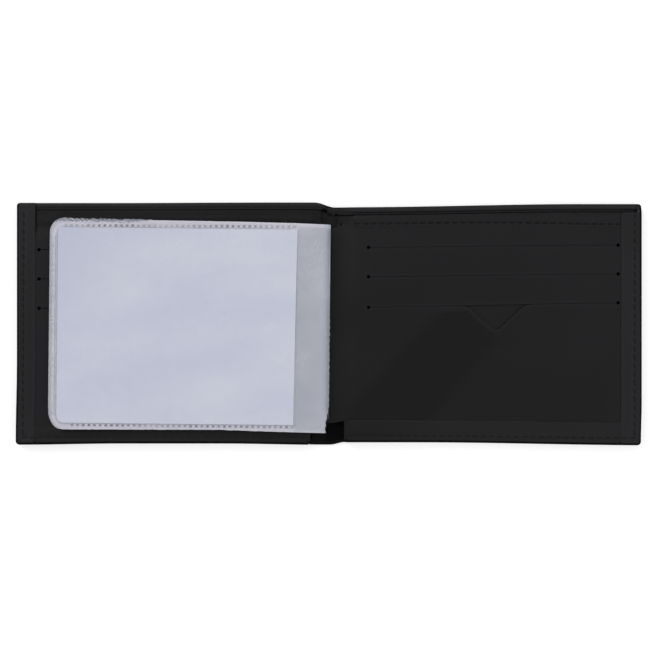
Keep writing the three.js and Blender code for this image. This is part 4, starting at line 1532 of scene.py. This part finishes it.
def seal_marks(leaf):
    """Marks of the sealing die along the three welds of a leaf, and the rough cut of the film's edge: pale
    burr marks on the lower leaves, which are also a painted highlight along the cut, and a broken dark line
    along the front one, which is painted shade between the leaves."""
    below = LEAF_COUNT - leaf
    left = leaf_left(leaf)
    level = leaf_bottom(leaf) + 2 * FILM_THICKNESS + SEAL_PROUD
    end_low = LEAF_BOTTOM[0][1] + LEAF_CORNERS[1] + END_SEAL_GAP
    end_high = FRONT_TOP[0][1] - LEAF_CORNERS[0]

    def end_line(x):
        return [(x, end_low, level), (x, end_high, level)]

    long_lines = [[(x, y + SLIP_LIFT * below, level) for x, y in line] for line in SEAL_ROWS]
    end_pitch, end_radius = SEAL_PITCH / END_SEALS_TO_PITCH, SEAL_RADIUS * END_SEAL_SIZE
    cut_x = np.linspace(left + LEAF_CORNERS[0], REAR_TOP[2][0], CUT_STEPS)
    cut_top = [(x, top_edge(leaf, x) - CUT_TOP_MARGIN, level) for x in cut_x]
    cuts = [cut_top, end_line(left + CUT_END_MARGIN)]
    rows = [("long_seal", long_lines, SEAL, SEAL_PITCH, SEAL_RADIUS, SEAL_LOOSE),
            ("end_seal", [end_line(left + END_WELD_WIDTH)], SEAL, end_pitch, end_radius, SEAL_LOOSE)]
    if below:
        rows.append(("burr_highlights", cuts, BURR_HIGHLIGHT, BURR_PITCH, BURR_RADIUS, BURR_LOOSE))
    else:
        rows.append(("rim_shade_marks", cuts, RIM_SHADE, BURR_PITCH, RIM_MARK_SIZE * BURR_RADIUS, BURR_LOOSE))
    for name, lines, material, pitch, radius, loose in rows:
        lines = [insert_placed(line)[0] for line in lines]
        sizes = {"Pitch": pitch * MM, "Radius": radius * MM, "Height": SEAL_HEIGHT * MM,
                 "Turn": math.radians(SEAL_TURN), "Loose": loose}
        piece = row(f"leaf_{leaf}_{name}", SEAL_ROW, lines, material, "film", **sizes)
        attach(piece, f"leaf_{leaf}")


def gutter(leaf):
    """Film between a sleeve's mouth and the hinge, wavy along its inner edge, where it is thin and clearest,
    so that the dark leather shows through as painted shade by the hinge, and welded along its top. It lies
    level where a slip slides out over it, and meets the other leaves' at both ends of the hinge."""
    bottom = leaf_bottom(leaf)
    random = np.random.default_rng(SCALLOP_SEED + leaf)
    edge_line = []
    for y in np.arange(along(LEAF_BOTTOM, 0), along(FRONT_TOP, 0), GUTTER_STEP):
        slack = float(smooth((SLACK_TOP - y) / SLACK_RUN))
        slant = -LOW_SLANT * float(smooth((LOW_SLANT_TOP - y) / LOW_SLANT_RUN))
        scallop = SCALLOP * math.sin(y * 2 * math.pi / SCALLOP_LENGTH) + SCALLOP_WANDER * random.normal()
        edge_line.append((HINGE_EDGE + slant + slack * scallop, y))
    edge_line.append((HINGE_EDGE, along(FRONT_TOP, 0)))
    mouth = -GUTTER_WIDTH
    outline = [(mouth, along(FRONT_TOP, mouth)), (mouth, along(LEAF_BOTTOM, mouth)), *edge_line]

    def lower(plan, rim):
        x, y = plan[:, 0], plan[:, 1]
        share = smooth((x + GUTTER_WIDTH) / (GUTTER_WIDTH + HINGE_EDGE))
        low, high = GATHER_START
        gathered = share * (smooth((low - y) / GATHER_RUN) + smooth((y - high) / GATHER_RUN))
        middle = HINGE[2] + (bottom - HINGE[2]) * HINGE_GATHER
        stir = GUTTER_STIR * share * smooth((SLACK_TOP - y) / GUTTER_STIR_RUN)
        return bottom + (middle - bottom) * gathered + stir * ripple(plan, GUTTER_WAVE, GUTTER_SEED + leaf)

    def upper(plan, rim):
        return lower(plan, rim) + FILM_THICKNESS

    vertices, faces, rim = sheet(outline, upper, lower, rings=GUTTER_RINGS, grid=GUTTER_GRID)
    from_top = along(FRONT_TOP, vertices[:, 0]) - vertices[:, 1]
    # Clearer towards the hinge, partly where the film thins and partly painted shade
    thinned_and_shaded = smooth((vertices[:, 0] + THIN_RUN) / THIN_RUN)
    haze = GUTTER_HAZE + GUTTER_WELD_HAZE * (1 - smooth((from_top - GUTTER_WELD) / GUTTER_WELD_FADE))
    haze += GUTTER_RIM_HAZE * edge_share(rim) * (1 - thinned_and_shaded)
    haze -= THIN_AND_SHADED_CLEAR * thinned_and_shaded
    piece = made(f"leaf_{leaf}_gutter_film", *insert_placed(vertices, faces), FILM, "film", haze)
    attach(piece, f"leaf_{leaf}")
    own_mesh(piece)
    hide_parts(f"leaf_{leaf}_gutter")


def photo_slip(leaf):
    """White slip in a sleeve, with a faint curl."""
    low = reach(f"photo_slip_{leaf}")[0][2]

    def lower(plan, rim):
        return low + SLIP_CURL + SLIP_CURL * ripple(plan, SLIP_WAVE, SLIP_SEED + leaf)

    def upper(plan, rim):
        return lower(plan, rim) + SLIP_THICKNESS

    outline = slip_outline(leaf, SLIP_RIGHT)
    vertices, faces, _ = sheet(outline, upper, lower, rings=STRIP_RINGS, grid=SLIP_GRID)
    piece = made(f"slip_{leaf}_paper", *insert_placed(vertices, faces), PAPER, "slip_paper")
    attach(piece, f"slip_{leaf}")
    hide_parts(f"photo_slip_{leaf}")


def tongue():
    """Film that holds the insert: a tongue in the slip pocket, and a web at the spine that carries the
    leaves."""
    low = reach("insert_tongue")[0][2]
    thick, radius = TONGUE_THICKNESS, WEB_RADIUS
    under = [(TONGUE_LEFT, low)]
    under += [(x, low) for x in np.arange(TONGUE_LEFT + TONGUE_TIP, -radius, TONGUE_STEP)]
    outer = arc((-radius, low + radius), radius, -90, 0)
    inner = arc((-radius, low + radius), radius - thick, 0, -90)
    over = [(x, z + thick) for x, z in reversed(under)]
    section = under + outer + [(0, WEB_TOP), (-thick, WEB_TOP)] + inner + over
    stations = np.linspace(TONGUE_HALF, -TONGUE_HALF, TONGUE_STEPS)
    vertices, faces = insert_placed(*lofted([[(x, y, z) for x, z in section] for y in stations]))
    piece = made("insert_tongue_film", vertices, faces, FILM, "film", np.zeros(len(vertices)))
    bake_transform(piece)
    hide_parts("insert_tongue", "insert_bar")


# Stage

def camera():
    """Camera straight above the wallet, at the photograph's framing."""
    data = bpy.data.cameras.new("camera")
    data.lens, data.sensor_width = LENS, SENSOR
    data.clip_start, data.clip_end = NEAREST, FARTHEST
    eye = linked("camera", data)
    height = FRAME_HEIGHT + FRAME_WIDTH * LENS / SENSOR
    eye.location = (FRAME_CENTRE[0] * MM, FRAME_CENTRE[1] * MM, height * MM)
    bpy.context.scene.camera = eye


def floor():
    """Plain pale floor, white to the eye, that keeps the wallet's shadow."""
    mesh = bpy.data.meshes.new("floor")
    corners = rectangle(-FLOOR_SIZE, FLOOR_SIZE, -FLOOR_SIZE, FLOOR_SIZE)
    mesh.from_pydata([(x, y, -FLOOR_DROP) for x, y in corners], [], [(0, 1, 2, 3)])
    ground = linked("floor", mesh)
    material, tree, shader = surface("pale_floor", Base_Color=FLOOR_COLOUR, Roughness=0.9,
                                     Specular_IOR_Level=0.1, Emission_Color=(1, 1, 1, 1))
    light = add(tree, "ShaderNodeLightPath").outputs
    seen = combined(tree, light["Is Camera Ray"], light["Is Glossy Ray"], "MAXIMUM")
    seen = combined(tree, seen, light["Is Transmission Ray"], "MAXIMUM")
    tree.links.new(combined(tree, seen, FLOOR_GLOW, "MULTIPLY"), shader.inputs["Emission Strength"])
    mesh.materials.append(material)


def softbox(name, place, size, power):
    """Square studio light that faces the wallet."""
    data = bpy.data.lights.new(name, "AREA")
    data.shape, data.size, data.energy = "SQUARE", size, power
    lamp = linked(name, data)
    lamp.location = place
    lamp.rotation_euler = Vector(place).to_track_quat("Z", "Y").to_euler()


def studio():
    """Soft light from above and from two sides, at a plain level."""
    world = bpy.data.worlds.new("studio")
    world.use_nodes = True
    world.node_tree.nodes["Background"].inputs["Color"].default_value = ROOM_COLOUR
    bpy.context.scene.world = world
    softbox("key_softbox", KEY_PLACE, KEY_SIZE, KEY_POWER)
    softbox("fill_softbox", FILL_PLACE, FILL_SIZE, FILL_POWER)
    bpy.context.scene.view_settings.view_transform = "Standard"


camera()
floor()
studio()
for wallet_half in HALVES:
    cover(wallet_half)
    turned_edges(wallet_half)
    slot_panel(wallet_half)
    notch_facing(wallet_half)
    binding(wallet_half)
    linings(wallet_half)
    seams(wallet_half)
spine_leather()
for number in range(1, LEAF_COUNT + 1):
    sleeve(number)
    seal_marks(number)
    gutter(number)
    photo_slip(number)
tongue()
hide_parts("spine_cover")
